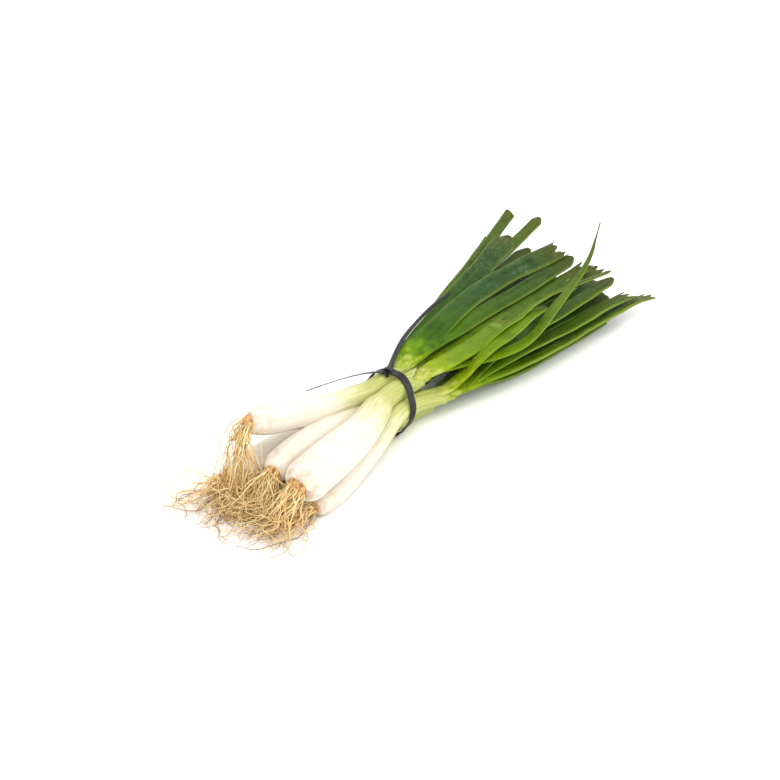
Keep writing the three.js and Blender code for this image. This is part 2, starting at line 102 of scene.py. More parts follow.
class Tint(Enum):
    """How a leaf's green leans: the first number goes from fresh to deep, the second adds blue bloom."""

    FRESH = (0.0, 0.0)
    MID = (0.4, 0.1)
    DEEP = (1.0, 0.1)
    BLUE = (0.5, 1.0)
    PALE = (0.05, 0.3)


@dataclass(frozen=True)
class Onion:
    """One plant: its place in the tied bundle and the points that its shank passes."""

    name: str
    place: Optional[int]
    bend: Point
    swell: Point
    plate: Point
    bulb: float
    waist: float
    mouth: Point
    rooty: float

    def neck(self) -> tuple[float, float]:
        """Return the neck's place across the bundle.

        Returns:
            The neck's y and z: the middle of the bundle, or one of the six places round it.
        """
        if self.place is None:
            return 0.0, NECK_HEIGHT
        angle = math.radians(self.place * 60)
        return math.cos(angle) * NECK_SPACING, NECK_HEIGHT + math.sin(angle) * NECK_SPACING

    def knots(self) -> list[Point]:
        """Return the points of the shank's centre line, from the root plate to the sheath's mouth."""
        y, z = self.neck()
        straight = [(-NECK_HALF_LENGTH, y, z), (NECK_HALF_LENGTH, y, z)]
        return [self.plate, self.swell, self.bend, *straight, self.mouth]


@dataclass(frozen=True)
class Leaf:
    """One leaf: the plant it grows from, its route past the sheath, its size, and how it ends."""

    onion: str
    via: Sequence[Point]
    half: float
    thick: float
    roll: float
    end: End
    tint: Tint
    channel: float = 0.4


ONIONS = [
    Onion("front_low", 3, (-44, -20.5, 12.5), (-77, -25, 8), (-95.5, -25.2, 8),
          7.6, 6.9, (31, -18, 15.5), 0.6),
    Onion("middle_front_low", 4, (-42, -8.6, 8.6), (-79, -8.6, 8.5), (-99, -8.4, 8.3),
          8.2, 6.8, (28, -9, 8), 0.8),
    Onion("middle_back_low", 5, (-42, 9.2, 8.4), (-78, 9.4, 8.3), (-96, 9.4, 8.2),
          8.0, 6.8, (26, 9, 8), 0.8),
    Onion("back_low", 0, (-44, 23, 12.5), (-88, 29.5, 8.4), (-110, 29, 8.4),
          8.6, 6.8, (30, 17.5, 18.5), 1.1),
    Onion("middle_top", None, (-46, 2, 25.2), (-83, 1.5, 26), (-102.5, -1.5, 25.4),
          8.9, 7.4, (29, 0.5, 21.5), 0.9),
    Onion("front_top", 2, (-50, -19.5, 31), (-90, -25, 31.4), (-108, -25.5, 29.5),
          12.9, 8.9, (20, -8.5, 30.5), 0.45),
    Onion("back_top", 1, (-48, 10.5, 34.5), (-80, 16, 42), (-98, 20.5, 47.5),
          8.2, 7.0, (18, 7.5, 30), 0.7),
]

LEAVES = [
    Leaf("middle_back_low", [(110, 21, 3), (203, 36, 1.6)], 6.4, 1.8, 4, End.CUT, Tint.DEEP),
    Leaf("middle_front_low", [(110, -10, 3), (199, -18, 1.6)], 6.6, 1.8, -5, End.CUT, Tint.DEEP),
    Leaf("front_low", [(88, -24, 3.5), (140, -30, 2.4), (180, -32.5, 2)], 5.6, 1.9, -12, End.CUT, Tint.MID),
    Leaf("back_low", [(105, 39, 4), (196, 57, 2)], 6.2, 1.7, 9, End.TORN, Tint.DEEP),
    Leaf("middle_front_low", [(110, 4, 7), (208, 8, 5)], 6, 1.7, 3, End.TORN, Tint.DEEP),
    Leaf("middle_back_low", [(100, 30, 9), (186, 50, 8)], 5.6, 1.6, 6, End.CUT, Tint.DEEP),
    Leaf("middle_front_low", [(112, -27, 8), (191, -38, 10)], 6, 1.7, -6, End.TORN, Tint.DEEP),
    Leaf("middle_back_low", [(105, 12, 11), (198, 20, 11)], 6, 1.6, 0, End.ROUND, Tint.DEEP),
    Leaf("front_low", [(84, -33, 15), (165, -42, 11), (212, -47, 9)], 5.2, 1.9, -18,
         End.TORN, Tint.FRESH, 0.8),
    Leaf("middle_front_low", [(112, -18, 15), (187, -29, 17)], 6, 1.6, -4, End.CUT, Tint.DEEP),
    Leaf("back_low", [(110, 48, 13), (198, 76, 14)], 4.2, 1.8, 16, End.CUT, Tint.BLUE, 0.2),
    Leaf("middle_top", [(110, 2, 20), (203, -11, 22)], 5.8, 1.6, 0, End.TORN, Tint.MID),
    Leaf("back_low", [(100, 31, 20), (202, 45, 17)], 5.8, 1.6, 8, End.ROUND, Tint.DEEP),
    Leaf("front_low", [(70, -25, 19), (120, -33, 19), (196, -42, 17)], 5.6, 1.8, -14,
         End.TORN, Tint.MID, 0.7),
    Leaf("back_low", [(100, 40, 25), (155, 55, 26), (218, 74, 28)], 3.6, 1.9, 20, End.CUT, Tint.PALE, 0.1),
    Leaf("middle_top", [(110, 14, 26), (183, 10, 27)], 6.2, 1.6, 5, End.CUT, Tint.DEEP),
    Leaf("front_low", [(72, -22, 24), (120, -22, 23), (187, -20, 24)], 5.6, 1.7, -8, End.CUT, Tint.DEEP),
    Leaf("middle_top", [(120, -6, 27), (195, -6, 26)], 5, 1.6, 0, End.TORN, Tint.DEEP),
    Leaf("back_top", [(95, 30, 29), (160, 41, 29), (223, 52, 30)], 3.7, 1.9, 12, End.ROUND, Tint.PALE, 0.1),
    Leaf("front_top", [(62, -20, 28), (120, -27, 27), (193, -30, 27)], 5.6, 1.7, -8,
         End.ROUND, Tint.MID, 0.6),
    Leaf("back_top", [(72, 21, 33), (125, 34, 33), (184, 49, 31)], 7.4, 1.6, 14, End.ROUND, Tint.BLUE, 0.3),
    Leaf("middle_top", [(92, -10, 33), (136, -10, 32), (180, -11, 30)], 6, 1.8, -3, End.CUT, Tint.MID, 0.5),
    Leaf("back_top", [(80, 3, 35), (120, 0, 34), (190, 1, 33)], 6, 1.8, 2, End.ROUND, Tint.DEEP, 0.3),
    Leaf("front_top", [(60, -16, 33), (96, -20, 32)], 7.6, 1.7, -8, End.TORN, Tint.FRESH, 0.6),
    Leaf("front_low", [(72, -30, 27), (103, -28, 30), (128, -22, 31)], 5, 1.7, -14,
         End.ROUND, Tint.FRESH, 0.5),
    Leaf("back_top", [(66, 11, 38), (92, 15, 38), (132, 16, 38), (187, 10, 37)], 7.4, 1.7, 8, End.TORN,
         Tint.BLUE, 0.5),
    Leaf("front_low", [(63, -23, 25), (89, -26, 36), (132, -24, 40), (153, -27, 40), (188, -31, 36)],
         2.7, 0.8, -20, End.ROUND, Tint.FRESH, 0.2),
    Leaf("front_low", [(51, -22, 21), (66, -36, 30), (93, -39, 36), (119, -35, 40), (147, -30, 43),
                       (177, -21, 46), (215, -3, 50)], 3.6, 0.8, -25, End.POINT, Tint.FRESH, 0.2),
]

KNOT = (5.0, 4.0, NECK_HEIGHT + NECK_SPACING + NECK_RADIUS - 1)
SHORT_TAIL = [KNOT, (-4, 10, 37.5), (-17, 17, 38), (-45, 26, 38.5)]
LONG_TAIL = [KNOT, (20, 12, 36), (38, 20, 36.5), (56, 25, 37), (78, 29, 38), (96, 30, 38.5)]


def stand(name: str, data: bpy.types.ID) -> bpy.types.Object:
    """Return a new object that shows this data in the scene."""
    obj = bpy.data.objects.new(name, data)
    bpy.context.scene.collection.objects.link(obj)
    return obj


def circle(sides: int) -> np.ndarray:
    """Return even places round a section, in radians, as one row."""
    return np.linspace(0, TURN, sides, endpoint=False)[None]


def grain_round(angle: np.ndarray, lengths: np.ndarray, shift: Union[float, np.ndarray] = 0.0,
                rate: float = GRAIN_RATE) -> np.ndarray:
    """Wrap the grain round a tube.

    Args:
        angle: Places round each ring.
        lengths: How far along the piece each ring stands, in millimetres.
        shift: What is added, so that no two pieces have the same streaks.
        rate: How far the grain moves for each millimetre.

    Returns:
        The grain's vector at each point.
    """
    turned = np.broadcast_to(angle, (len(lengths), angle.shape[-1]))
    along = np.broadcast_to(lengths[:, None] * rate, turned.shape)
    return np.stack([np.cos(turned), np.sin(turned), along], axis=2) + shift


def eased(t: np.ndarray) -> np.ndarray:
    """Ease from 0 to 1.

    Args:
        t: Where each place stands on the way, 0 before it and 1 past it.

    Returns:
        The eased share of each place.
    """
    held = np.clip(t, 0.0, 1.0)
    return held * held * (3 - 2 * held)


def between(a: Amount, b: Amount, t: np.ndarray) -> np.ndarray:
    """Return the mix of a and b, with share t of b."""
    return a + (b - a) * t


def wander(seed: int, run: np.ndarray, wavelength: float) -> np.ndarray:
    """Make a smooth wandering value along a length.

    Args:
        seed: The seed of the draw.
        run: Places along the length, in millimetres.
        wavelength: About how far one swing takes, in millimetres.

    Returns:
        One value from about -1 to 1 for each place.
    """
    draw = random.Random(seed)
    total = np.zeros_like(run)
    for pace, weight in ((1.0, 0.6), (1.73, 0.3), (2.91, 0.18)):
        rate = TURN / wavelength * pace * draw.uniform(0.85, 1.15)
        total += weight * np.sin(run * rate + draw.uniform(0, TURN))
    return total


def linear(code: str) -> tuple[float, float, float, float]:
    """Turn a hexadecimal colour into the linear one that shaders take.

    Args:
        code: Six hexadecimal digits after a #.

    Returns:
        Red, green, blue and alpha.
    """
    parts = [int(code[i:i + 2], 16) / 255 for i in (1, 3, 5)]
    curved = [p / 12.92 if p <= 0.04045 else ((p + 0.055) / 1.055) ** 2.4 for p in parts]
    return curved[0], curved[1], curved[2], 1.0


@dataclass
class Track:
    """Places along a smooth path, each with the path's direction and an across and an up direction."""

    at: np.ndarray
    ahead: np.ndarray
    side: np.ndarray
    up: np.ndarray
    run: np.ndarray

    @property
    def length(self) -> float:
        """Return the path's length in millimetres."""
        return float(self.run[-1])

    @property
    def share(self) -> np.ndarray:
        """Return each place's share of the length."""
        return self.run / self.run[-1]

    def part(self, where: slice) -> "Track":
        """Return the places that a slice picks."""
        return Track(self.at[where], self.ahead[where], self.side[where], self.up[where], self.run[where])


def smooth_path(knots: Sequence[Point], dense: int = 40) -> np.ndarray:
    """Draw a smooth curve through points.

    Args:
        knots: The points, in millimetres.
        dense: How many places each stretch gets.

    Returns:
        Places along the curve, one row each.
    """
    p = np.asarray(knots, dtype=float)
    p = np.vstack([2 * p[0] - p[1], p, 2 * p[-1] - p[-2]])
    t = np.linspace(0, 1, dense, endpoint=False)[:, None]
    stretches = []
    for i in range(1, len(p) - 2):
        a, b, c, d = p[i - 1:i + 3]
        ta, tb, tc = (max(float(np.linalg.norm(v)) ** 0.5, 1e-4) for v in (b - a, c - b, d - c))
        leave = ((b - a) / ta - (c - a) / (ta + tb) + (c - b) / tb) * tb
        arrive = ((c - b) / tb - (d - b) / (tb + tc) + (d - c) / tc) * tb
        cubic = 2 * b - 2 * c + leave + arrive
        square = -3 * b + 3 * c - 2 * leave - arrive
        stretches.append(b + leave * t + square * t ** 2 + cubic * t ** 3)
    return np.vstack([*stretches, p[-2:-1]])


def track(knots: Sequence[Point], count: int, roll: Union[float, np.ndarray] = 0.0,
          shares: Optional[np.ndarray] = None) -> Track:
    """Place even stations along a smooth path.

    Args:
        knots: The points that the path passes, in millimetres.
        count: How many steps the path takes.
        roll: How far the across direction is turned about the path, in degrees.
        shares: Shares of the length to stand at, if not even ones.

    Returns:
        The stations, whose across direction turns no more than the path does.
    """
    dense = smooth_path(knots)
    steps = np.linalg.norm(np.diff(dense, axis=0), axis=1)
    run = np.concatenate([[0.0], np.cumsum(steps)])
    wanted = (np.linspace(0, 1, count + 1) if shares is None else shares) * run[-1]
    at = np.stack([np.interp(wanted, run, dense[:, k]) for k in range(3)], axis=1)
    reach = run[-1] / 400
    before = np.stack([np.interp(wanted - reach, run, dense[:, k]) for k in range(3)], axis=1)
    after = np.stack([np.interp(wanted + reach, run, dense[:, k]) for k in range(3)], axis=1)
    ahead = after - before
    ahead /= np.linalg.norm(ahead, axis=1, keepdims=True)
    near = np.array([0.0, 1.0, 0.0]) if abs(ahead[0, 2]) > 0.9 else np.array([0.0, 0.0, 1.0])
    side = np.empty_like(at)
    side[0] = np.cross(near, ahead[0])
    side[0] /= np.linalg.norm(side[0])
    for i in range(1, len(at)):
        held = side[i - 1] - ahead[i] * float(side[i - 1] @ ahead[i])
        side[i] = held / np.linalg.norm(held)
    up = np.cross(ahead, side)
    angle = np.radians(np.broadcast_to(np.asarray(roll, dtype=float), (len(at),)))[:, None]
    turned = side * np.cos(angle) + up * np.sin(angle)
    return Track(at, ahead, turned, np.cross(ahead, turned), wanted)


class Shape:
    """A mesh in the making: points in millimetres, faces, and values at the points."""

    def __init__(self) -> None:
        """Start with nothing in it."""
        self.points: list[np.ndarray] = []
        self.faces: list[tuple[int, ...]] = []
        self.grains: list[np.ndarray] = []
        self.values: dict[str, list[np.ndarray]] = {}
        self.count = 0

    def loft(self, rings: np.ndarray, grain: np.ndarray, values: Mapping[str, np.ndarray]) -> None:
        """Add a tube, closed by a fan at each end.

        Args:
            rings: The tube's points, by ring and by place round the ring.
            grain: A vector at each point, which the finish's streaks follow.
            values: Named values, one for each point or for each ring.
        """
        many, sides = rings.shape[:2]
        first = self.count
        points = [rings.reshape(-1, 3)]
        grains = [grain.reshape(-1, 3)]
        shaped = {}
        for name, value in values.items():
            value = np.asarray(value, dtype=float)
            full = value if value.ndim == 2 else np.repeat(value[:, None], sides, axis=1)
            shaped[name] = [full.reshape(-1)]
        index = first + np.arange(many * sides).reshape(many, sides)
        a, b = index[:-1], index[1:]
        quads = np.stack([a, np.roll(a, -1, 1), np.roll(b, -1, 1), b], axis=2).reshape(-1, 4)
        self.faces.extend(map(tuple, quads.tolist()))
        extra = many * sides + first
        for ring, flip in ((0, True), (many - 1, False)):
            points.append(rings[ring].mean(axis=0)[None])
            grains.append(grain[ring].mean(axis=0)[None])
            for name in shaped:
                shaped[name].append(shaped[name][0][ring * sides:ring * sides + 1])
            loop = index[ring]
            for i in range(sides):
                pair = (int(loop[i]), int(loop[(i + 1) % sides]))
                self.faces.append((extra, pair[1], pair[0]) if flip else (extra, pair[0], pair[1]))
            extra += 1
        self.points.extend(points)
        self.grains.extend(grains)
        for name, parts in shaped.items():
            self.values.setdefault(name, []).extend(parts)
        self.count = extra

    def finish(self, name: str, material: bpy.types.Material) -> bpy.types.Object:
        """Make the object.

        Args:
            name: The object's name.
            material: Its material.

        Returns:
            The object, with its place in its mesh.
        """
        places = np.vstack(self.points)
        places[:, 0] += FOOT
        mesh = bpy.data.meshes.new(name)
        mesh.from_pydata((places * MM).tolist(), [], self.faces)
        layer = mesh.attributes.new("grain", "FLOAT_VECTOR", "POINT")
        layer.data.foreach_set("vector", np.vstack(self.grains).astype(np.float32).ravel())
        for key, parts in self.values.items():
            layer = mesh.attributes.new(key, "FLOAT", "POINT")
            layer.data.foreach_set("value", np.concatenate(parts).astype(np.float32))
        mesh.polygons.foreach_set("use_smooth", [True] * len(mesh.polygons))
        mesh.materials.append(material)
        mesh.update()
        return stand(name, mesh)


def sweep(path: Track, across: np.ndarray, over: np.ndarray, push: Optional[np.ndarray] = None) -> np.ndarray:
    """Carry a section along a path.

    Args:
        path: The path.
        across: How far each point of each ring stands along the across direction.
        over: How far each stands along the up direction.
        push: How far each stands ahead of its ring.

    Returns:
        The rings of points, kept above the table.
    """
    rings = path.at[:, None] + path.side[:, None] * across[..., None] + path.up[:, None] * over[..., None]
    if push is not None:
        rings = rings + path.ahead[:, None] * push[..., None]
    rings[..., 2] = np.maximum(rings[..., 2], 0.02)
    return rings


class Value:
    """A shader socket that can be added, scaled and compared like a number."""

    def __init__(self, net: "Net", socket: bpy.types.NodeSocket) -> None:
        """Keep the socket and the material it is in."""
        self.net = net
        self.socket = socket

    def _with(self, operation: str, other: Number, flipped: bool = False) -> "Value":
        """Return this value and another put through one Math node."""
        pair = (other, self) if flipped else (self, other)
        return self.net.node("ShaderNodeMath", {"operation": operation}, {0: pair[0], 1: pair[1]})

    def __add__(self, other: Number) -> "Value":
        """Return the sum."""
        return self._with("ADD", other)

    __radd__ = __add__

    def __mul__(self, other: Number) -> "Value":
        """Return the product."""
        return self._with("MULTIPLY", other)

    __rmul__ = __mul__

    def __sub__(self, other: Number) -> "Value":
        """Return the difference."""
        return self._with("SUBTRACT", other)

    def __rsub__(self, other: Number) -> "Value":
        """Return the difference the other way round."""
        return self._with("SUBTRACT", other, True)

    def __truediv__(self, other: Number) -> "Value":
        """Return the quotient."""
        return self._with("DIVIDE", other)

    def over(self, low: float, high: float) -> "Value":
        """Return how far the value is on its way from low to high, eased and held from 0 to 1."""
        sockets = {"Value": self, "From Min": low, "From Max": high}
        return self.net.node("ShaderNodeMapRange", {"interpolation_type": "SMOOTHSTEP"}, sockets)


class Net:
    """One material's nodes."""

    def __init__(self, name: str) -> None:
        """Start a material with only its output."""
        self.material = bpy.data.materials.new(name)
        self.material.use_nodes = True
        self.tree = self.material.node_tree
        self.tree.nodes.clear()

    def node(self, kind: str, settings: Mapping[str, object], sockets: Mapping[Union[str, int], object],
             output: Union[str, int] = 0) -> Value:
        """Add a node.

        Args:
            kind: The node's type.
            settings: What is set on the node itself, first.
            sockets: A value or a link for each input, by name, identifier or number.
            output: Which output is wanted.

        Returns:
            That output.
        """
        made = self.tree.nodes.new(kind)
        for key, value in settings.items():
            if key == "stops":
                self._stops(made.color_ramp, value)
            else:
                setattr(made, key, value)
        for key, value in sockets.items():
            socket = self._find(made.inputs, key)
            if isinstance(value, Value):
                self.tree.links.new(value.socket, socket)
            else:
                socket.default_value = value
        return Value(self, self._find(made.outputs, output))

    @staticmethod
    def _find(sockets: bpy.types.bpy_prop_collection, key: Union[str, int]) -> bpy.types.NodeSocket:
        """Return a socket by its number, identifier or name."""
        if isinstance(key, int):
            return sockets[key]
        by_identifier = [s for s in sockets if s.identifier == key]
        return by_identifier[0] if by_identifier else sockets[key]

    @staticmethod
    def _stops(ramp: bpy.types.ColorRamp, stops: Sequence[tuple[float, str]]) -> None:
        """Set a ramp's stops, each a place and a hexadecimal colour."""
        while len(ramp.elements) > 1:
            ramp.elements.remove(ramp.elements[-1])
        for i, (place, code) in enumerate(stops):
            element = ramp.elements[0] if i == 0 else ramp.elements.new(place)
            element.position = place
            element.color = linear(code)

    def ramp(self, value: Value, stops: Sequence[tuple[float, str]]) -> Value:
        """Return the colour that a ramp gives a value."""
        return self.node("ShaderNodeValToRGB", {"stops": stops}, {"Fac": value})

    def mix(self, share: Number, a: Colour, b: Colour, blend: str = "MIX") -> Value:
        """Blend two colours.

        Args:
            share: How much of the second colour comes in.
            a: The first colour, as a socket or a hexadecimal code.
            b: The second colour.
            blend: How the second colour is laid on the first.

        Returns:
            The blended colour.
        """
        sockets: dict[Union[str, int], object] = {"Factor_Float": share}
        for name, colour in (("A_Color", a), ("B_Color", b)):
            sockets[name] = linear(colour) if isinstance(colour, str) else colour
        settings = {"data_type": "RGBA", "blend_type": blend, "clamp_factor": True}
        return self.node("ShaderNodeMix", settings, sockets, "Result_Color")

    def darken(self, share: Number, a: Colour, b: Colour) -> Value:
        """Return colour a multiplied by colour b, as far as share says."""
        return self.mix(share, a, b, "MULTIPLY")

    def value(self, name: str) -> Value:
        """Return a value that the mesh holds at its points."""
        return self.node("ShaderNodeAttribute", {"attribute_name": name}, {}, "Fac")

    def grain(self, scale: Point) -> Value:
        """Return the mesh's own grain direction, stretched."""
        vector = self.node("ShaderNodeAttribute", {"attribute_name": "grain"}, {}, "Vector")
        return self.node("ShaderNodeVectorMath", {"operation": "MULTIPLY"}, {0: vector, 1: tuple(scale)})

    def place(self) -> Value:
        """Return the place on the object."""
        return self.node("ShaderNodeTexCoord", {}, {}, "Object")

    def height(self) -> Value:
        """Return how high the place stands over the table, in metres."""
        return self.node("ShaderNodeSeparateXYZ", {}, {"Vector": self.place()}, "Z")

    def noise(self, vector: Value, scale: float, detail: float = 2.0, rough: float = 0.5) -> Value:
        """Return a noise value from 0 to 1."""
        sockets = {"Vector": vector, "Scale": scale, "Detail": detail, "Roughness": rough}
        return self.node("ShaderNodeTexNoise", {}, sockets, 0)

    def bump(self, height: Value, strength: float, distance: float, below: Optional[Value] = None) -> Value:
        """Return a normal raised by a height."""
        sockets: dict[str, object] = {"Strength": strength, "Distance": distance, "Height": height}
        if below is not None:
            sockets["Normal"] = below
        return self.node("ShaderNodeBump", {}, sockets)

    def surface(self, sockets: Mapping[str, object]) -> bpy.types.Material:
        """Finish the material.

        Args:
            sockets: What the surface shader's sockets get.

        Returns:
            The material.
        """
        shader = self.node("ShaderNodeBsdfPrincipled", {}, sockets)
        output = self.tree.nodes.new("ShaderNodeOutputMaterial")
        self.tree.links.new(shader.socket, output.inputs["Surface"])
        return self.material


@dataclass(frozen=True)
class ShankFinish:
    """White, moist onion skin that turns streaky yellow-green towards the leaves."""

    white: str = "#e0d8ca"
    warm: str = "#d3c2a0"
    stain: str = "#a37c48"
    tan: str = "#c9a878"
    lime: str = "#b4b650"
    green: str = "#87981f"
    pale_line: str = "#dcd8a6"
    green_line: str = "#a9b35c"

    def make(self) -> bpy.types.Material:
        """Return the material."""
        net = Net("onion_skin")
        along = net.value("along")
        broad = net.noise(net.grain((1.6, 1.6, 9.0)), 1.0, 3.0)
        fine = net.noise(net.grain((15.0, 15.0, 3.0)), 1.0, 3.0, 0.6)
        hair = net.noise(net.grain((38.0, 38.0, 5.0)), 1.0, 2.0, 0.7)
        spots = net.noise(net.place(), 160.0, 4.0, 0.65)
        body = net.mix(broad.over(0.35, 0.75), self.white, self.warm)
        body = net.mix(broad.over(0.2, 0.8) * 0.35, self.white, body)
        low = (1 - along.over(0.02, 0.16)) * spots.over(0.42, 0.72)
        body = net.mix(low * 0.55, body, self.stain)
        body = net.mix(spots.over(0.66, 0.78) * 0.35, body, self.stain)
        bruise = net.noise(net.place(), 48.0, 5.0, 0.72).over(0.6, 0.74)
        body = net.mix(bruise * (1 - along.over(0.35, 0.7)) * 0.45, body, self.tan)
        start = along + (fine - 0.5) * 0.5 + (broad - 0.5) * 0.2
        body = net.mix(start.over(0.4, 0.74) * 0.8, body, self.lime)
        body = net.mix(start.over(0.58, 0.96) * 0.7, body, self.green)
        body = net.mix(hair.over(0.47, 0.66) * along.over(0.42, 0.66) * 0.55, body, self.pale_line)
        body = net.darken(hair.over(0.46, 0.3) * along.over(0.36, 0.62) * 0.6, body, self.green_line)
        height = fine * 0.6 + hair * 0.4
        normal = net.bump(height, 0.35, 0.0006)
        normal = net.bump(spots, 0.12, 0.0004, normal)
        return net.surface({
            "Base Color": body,
            "Roughness": 0.36 + fine * 0.16,
            "Normal": normal,
            "Specular IOR Level": 0.3,
            "Subsurface Weight": 0.2,
            "Subsurface Radius": (1.0, 0.75, 0.4),
            "Subsurface Scale": 0.004,
        })


@dataclass(frozen=True)
class LeafFinish:
    """A waxy leaf, bright at its base, with fine lengthwise veins, a dull bloom further out and painted
    highlights on its sides.
    """

    stops: tuple[float, ...] = (0.0, 0.035, 0.14, 0.45, 0.75, 1.0)
    fresh: tuple[str, ...] = ("#b9bd62", "#93a40e", "#6a8602", "#536c04", "#455c0a", "#515810")
    deep: tuple[str, ...] = ("#b2b95a", "#7f9806", "#466a01", "#304c01", "#263c04", "#33380a")
    blue: tuple[str, ...] = ("#b2b95a", "#6c9008", "#335805", "#274418", "#354e22", "#424a1c")
    dry: str = "#4f4a16"
    # colour of the painted highlight laid along each leaf's folded sides
    rim_highlight: str = "#8ba03c"
    vein: str = "#70902a"
    furrow: str = "#8fae7a"
    bloom: str = "#6d8568"
    dull: str = "#7c8a5a"
    lining: str = "#6d8a3a"
    reach: float = 0.24

    def make(self) -> bpy.types.Material:
        """Return the material."""
        net = Net("leaf_green")
        reach = net.value("reach") / self.reach
        broad = net.noise(net.grain((1.2, 1.2, 14.0)), 1.0, 3.0)
        vein = net.noise(net.grain((16.0, 16.0, 2.0)), 1.0, 2.0, 0.6)
        hair = net.noise(net.grain((46.0, 46.0, 4.0)), 1.0, 1.0)
        patch = net.noise(net.place(), 90.0, 4.0, 0.6)
        out = reach + (broad - 0.5) * 0.22 + (vein - 0.5) * 0.06
        greens = (self.fresh, self.deep, self.blue)
        fresh, deep, blue = (net.ramp(out, list(zip(self.stops, colours))) for colours in greens)
        colour = net.mix(net.value("deepness"), fresh, deep)
        colour = net.mix(net.value("blueness"), colour, blue)
        colour = net.mix(vein.over(0.5, 0.75) * 0.25, colour, self.vein)
        colour = net.darken(vein.over(0.52, 0.3) * 0.5, colour, self.furrow)
        mottle = net.noise(net.place(), 330.0, 4.0, 0.7)
        bloom = mottle.over(0.45, 0.7) * patch.over(0.36, 0.62)
        bloom_less = 0.45 + mottle.over(0.62, 0.4) * 0.55
        bloom = bloom * reach.over(0.15, 0.6) * (0.16 + net.value("blueness") * 0.3)
        colour = net.mix(bloom, colour, self.bloom)
        colour = net.darken(patch.over(0.5, 0.3) * 0.45, colour, self.dull)
        # painted highlight: the folded sides of each leaf are made lighter yellow-green, standing in for
        # light glancing off them
        colour = net.mix(net.value("rim_highlight") * reach.over(0.05, 0.3) * 0.5, colour, self.rim_highlight)
        tip = (net.value("along") + (patch - 0.5) * 0.25).over(0.84, 1.0) * bloom_less
        colour = net.mix(tip * 0.65, colour, self.dry)
        colour = net.mix(net.value("inside") * 0.75, colour, self.lining)
        height = vein * 0.7 + hair * 0.3
        normal = net.bump(height, 0.45, 0.0005)
        normal = net.bump(patch, 0.15, 0.0008, normal)
        return net.surface({
            "Base Color": colour,
            "Roughness": 0.38 + patch * 0.24,
            "Normal": normal,
            "Specular IOR Level": 0.12,
            "Subsurface Weight": 0.06,
            "Subsurface Radius": (0.4, 0.9, 0.2),
            "Subsurface Scale": 0.002,
        })


@dataclass(frozen=True)
class RootFinish:
    """Dry, straw-coloured roots, each a little different, browner where they leave the plate, with painted
    shade low in the pile.
    """

    pale: str = "#f4e0aa"
    straw: str = "#dcb46c"
    brown: str = "#8a5824"
    stub: str = "#b07c40"
    # colour of the painted shade that darkens the roots low in the pile
    low: str = "#a06e30"

    def make(self) -> bpy.types.Material:
        """Return the material."""
        net = Net("root_straw")
        shade = net.value("shade")
        along = net.value("along")
        mottle = net.noise(net.place(), 420.0, 3.0)
        colour = net.mix(shade, self.straw, self.pale)
        colour = net.mix((1 - shade.over(0.0, 0.3)) * 0.6, colour, self.brown)
        colour = net.mix((1 - along.over(0.0, 0.12)) * 0.6, colour, self.stub)
        colour = net.mix(mottle.over(0.55, 0.75) * 0.3, colour, self.brown)
        # painted shade: roots within 13 mm of the table are darkened, standing in for shade deep in the pile
        colour = net.darken((1 - net.height().over(0.0, 0.013)) * 0.7, colour, self.low)
        return net.surface({
            "Base Color": colour,
            "Roughness": 0.72,
            "Normal": net.bump(mottle, 0.4, 0.0003),
            "Subsurface Weight": 0.1,
            "Subsurface Radius": (1.0, 0.6, 0.3),
            "Subsurface Scale": 0.001,
        })


@dataclass(frozen=True)
class PlateFinish:
    """The corky, orange-brown plate that the roots grow from."""

    light: str = "#e3b779"
    dark: str = "#9a6a34"

    def make(self) -> bpy.types.Material:
        """Return the material."""
        net = Net("root_plate")
        lumps = net.noise(net.place(), 380.0, 4.0, 0.65)
        colour = net.mix(lumps.over(0.35, 0.65), self.dark, self.light)
        return net.surface({
            "Base Color": colour,
            "Roughness": 0.8,
            "Normal": net.bump(lumps, 0.8, 0.0012),
        })


@dataclass(frozen=True)
class StripFinish:
    """Creased black plastic film."""

    black: str = "#0b0a0d"
    worn: str = "#2a282d"

    def make(self) -> bpy.types.Material:
        """Return the material."""
        net = Net("black_strip")
        crease = net.noise(net.grain((5.0, 5.0, 22.0)), 1.0, 3.0)
        long_crease = net.noise(net.grain((12.0, 12.0, 3.0)), 1.0, 2.0)
        colour = net.mix(crease.over(0.55, 0.8) * 0.5, self.black, self.worn)
        normal = net.bump(crease * 0.5 + long_crease * 0.5, 0.6, 0.0008)
        return net.surface({
            "Base Color": colour,
            "Roughness": 0.18 + crease * 0.25,
            "Normal": normal,
            "Specular IOR Level": 0.5,
        })


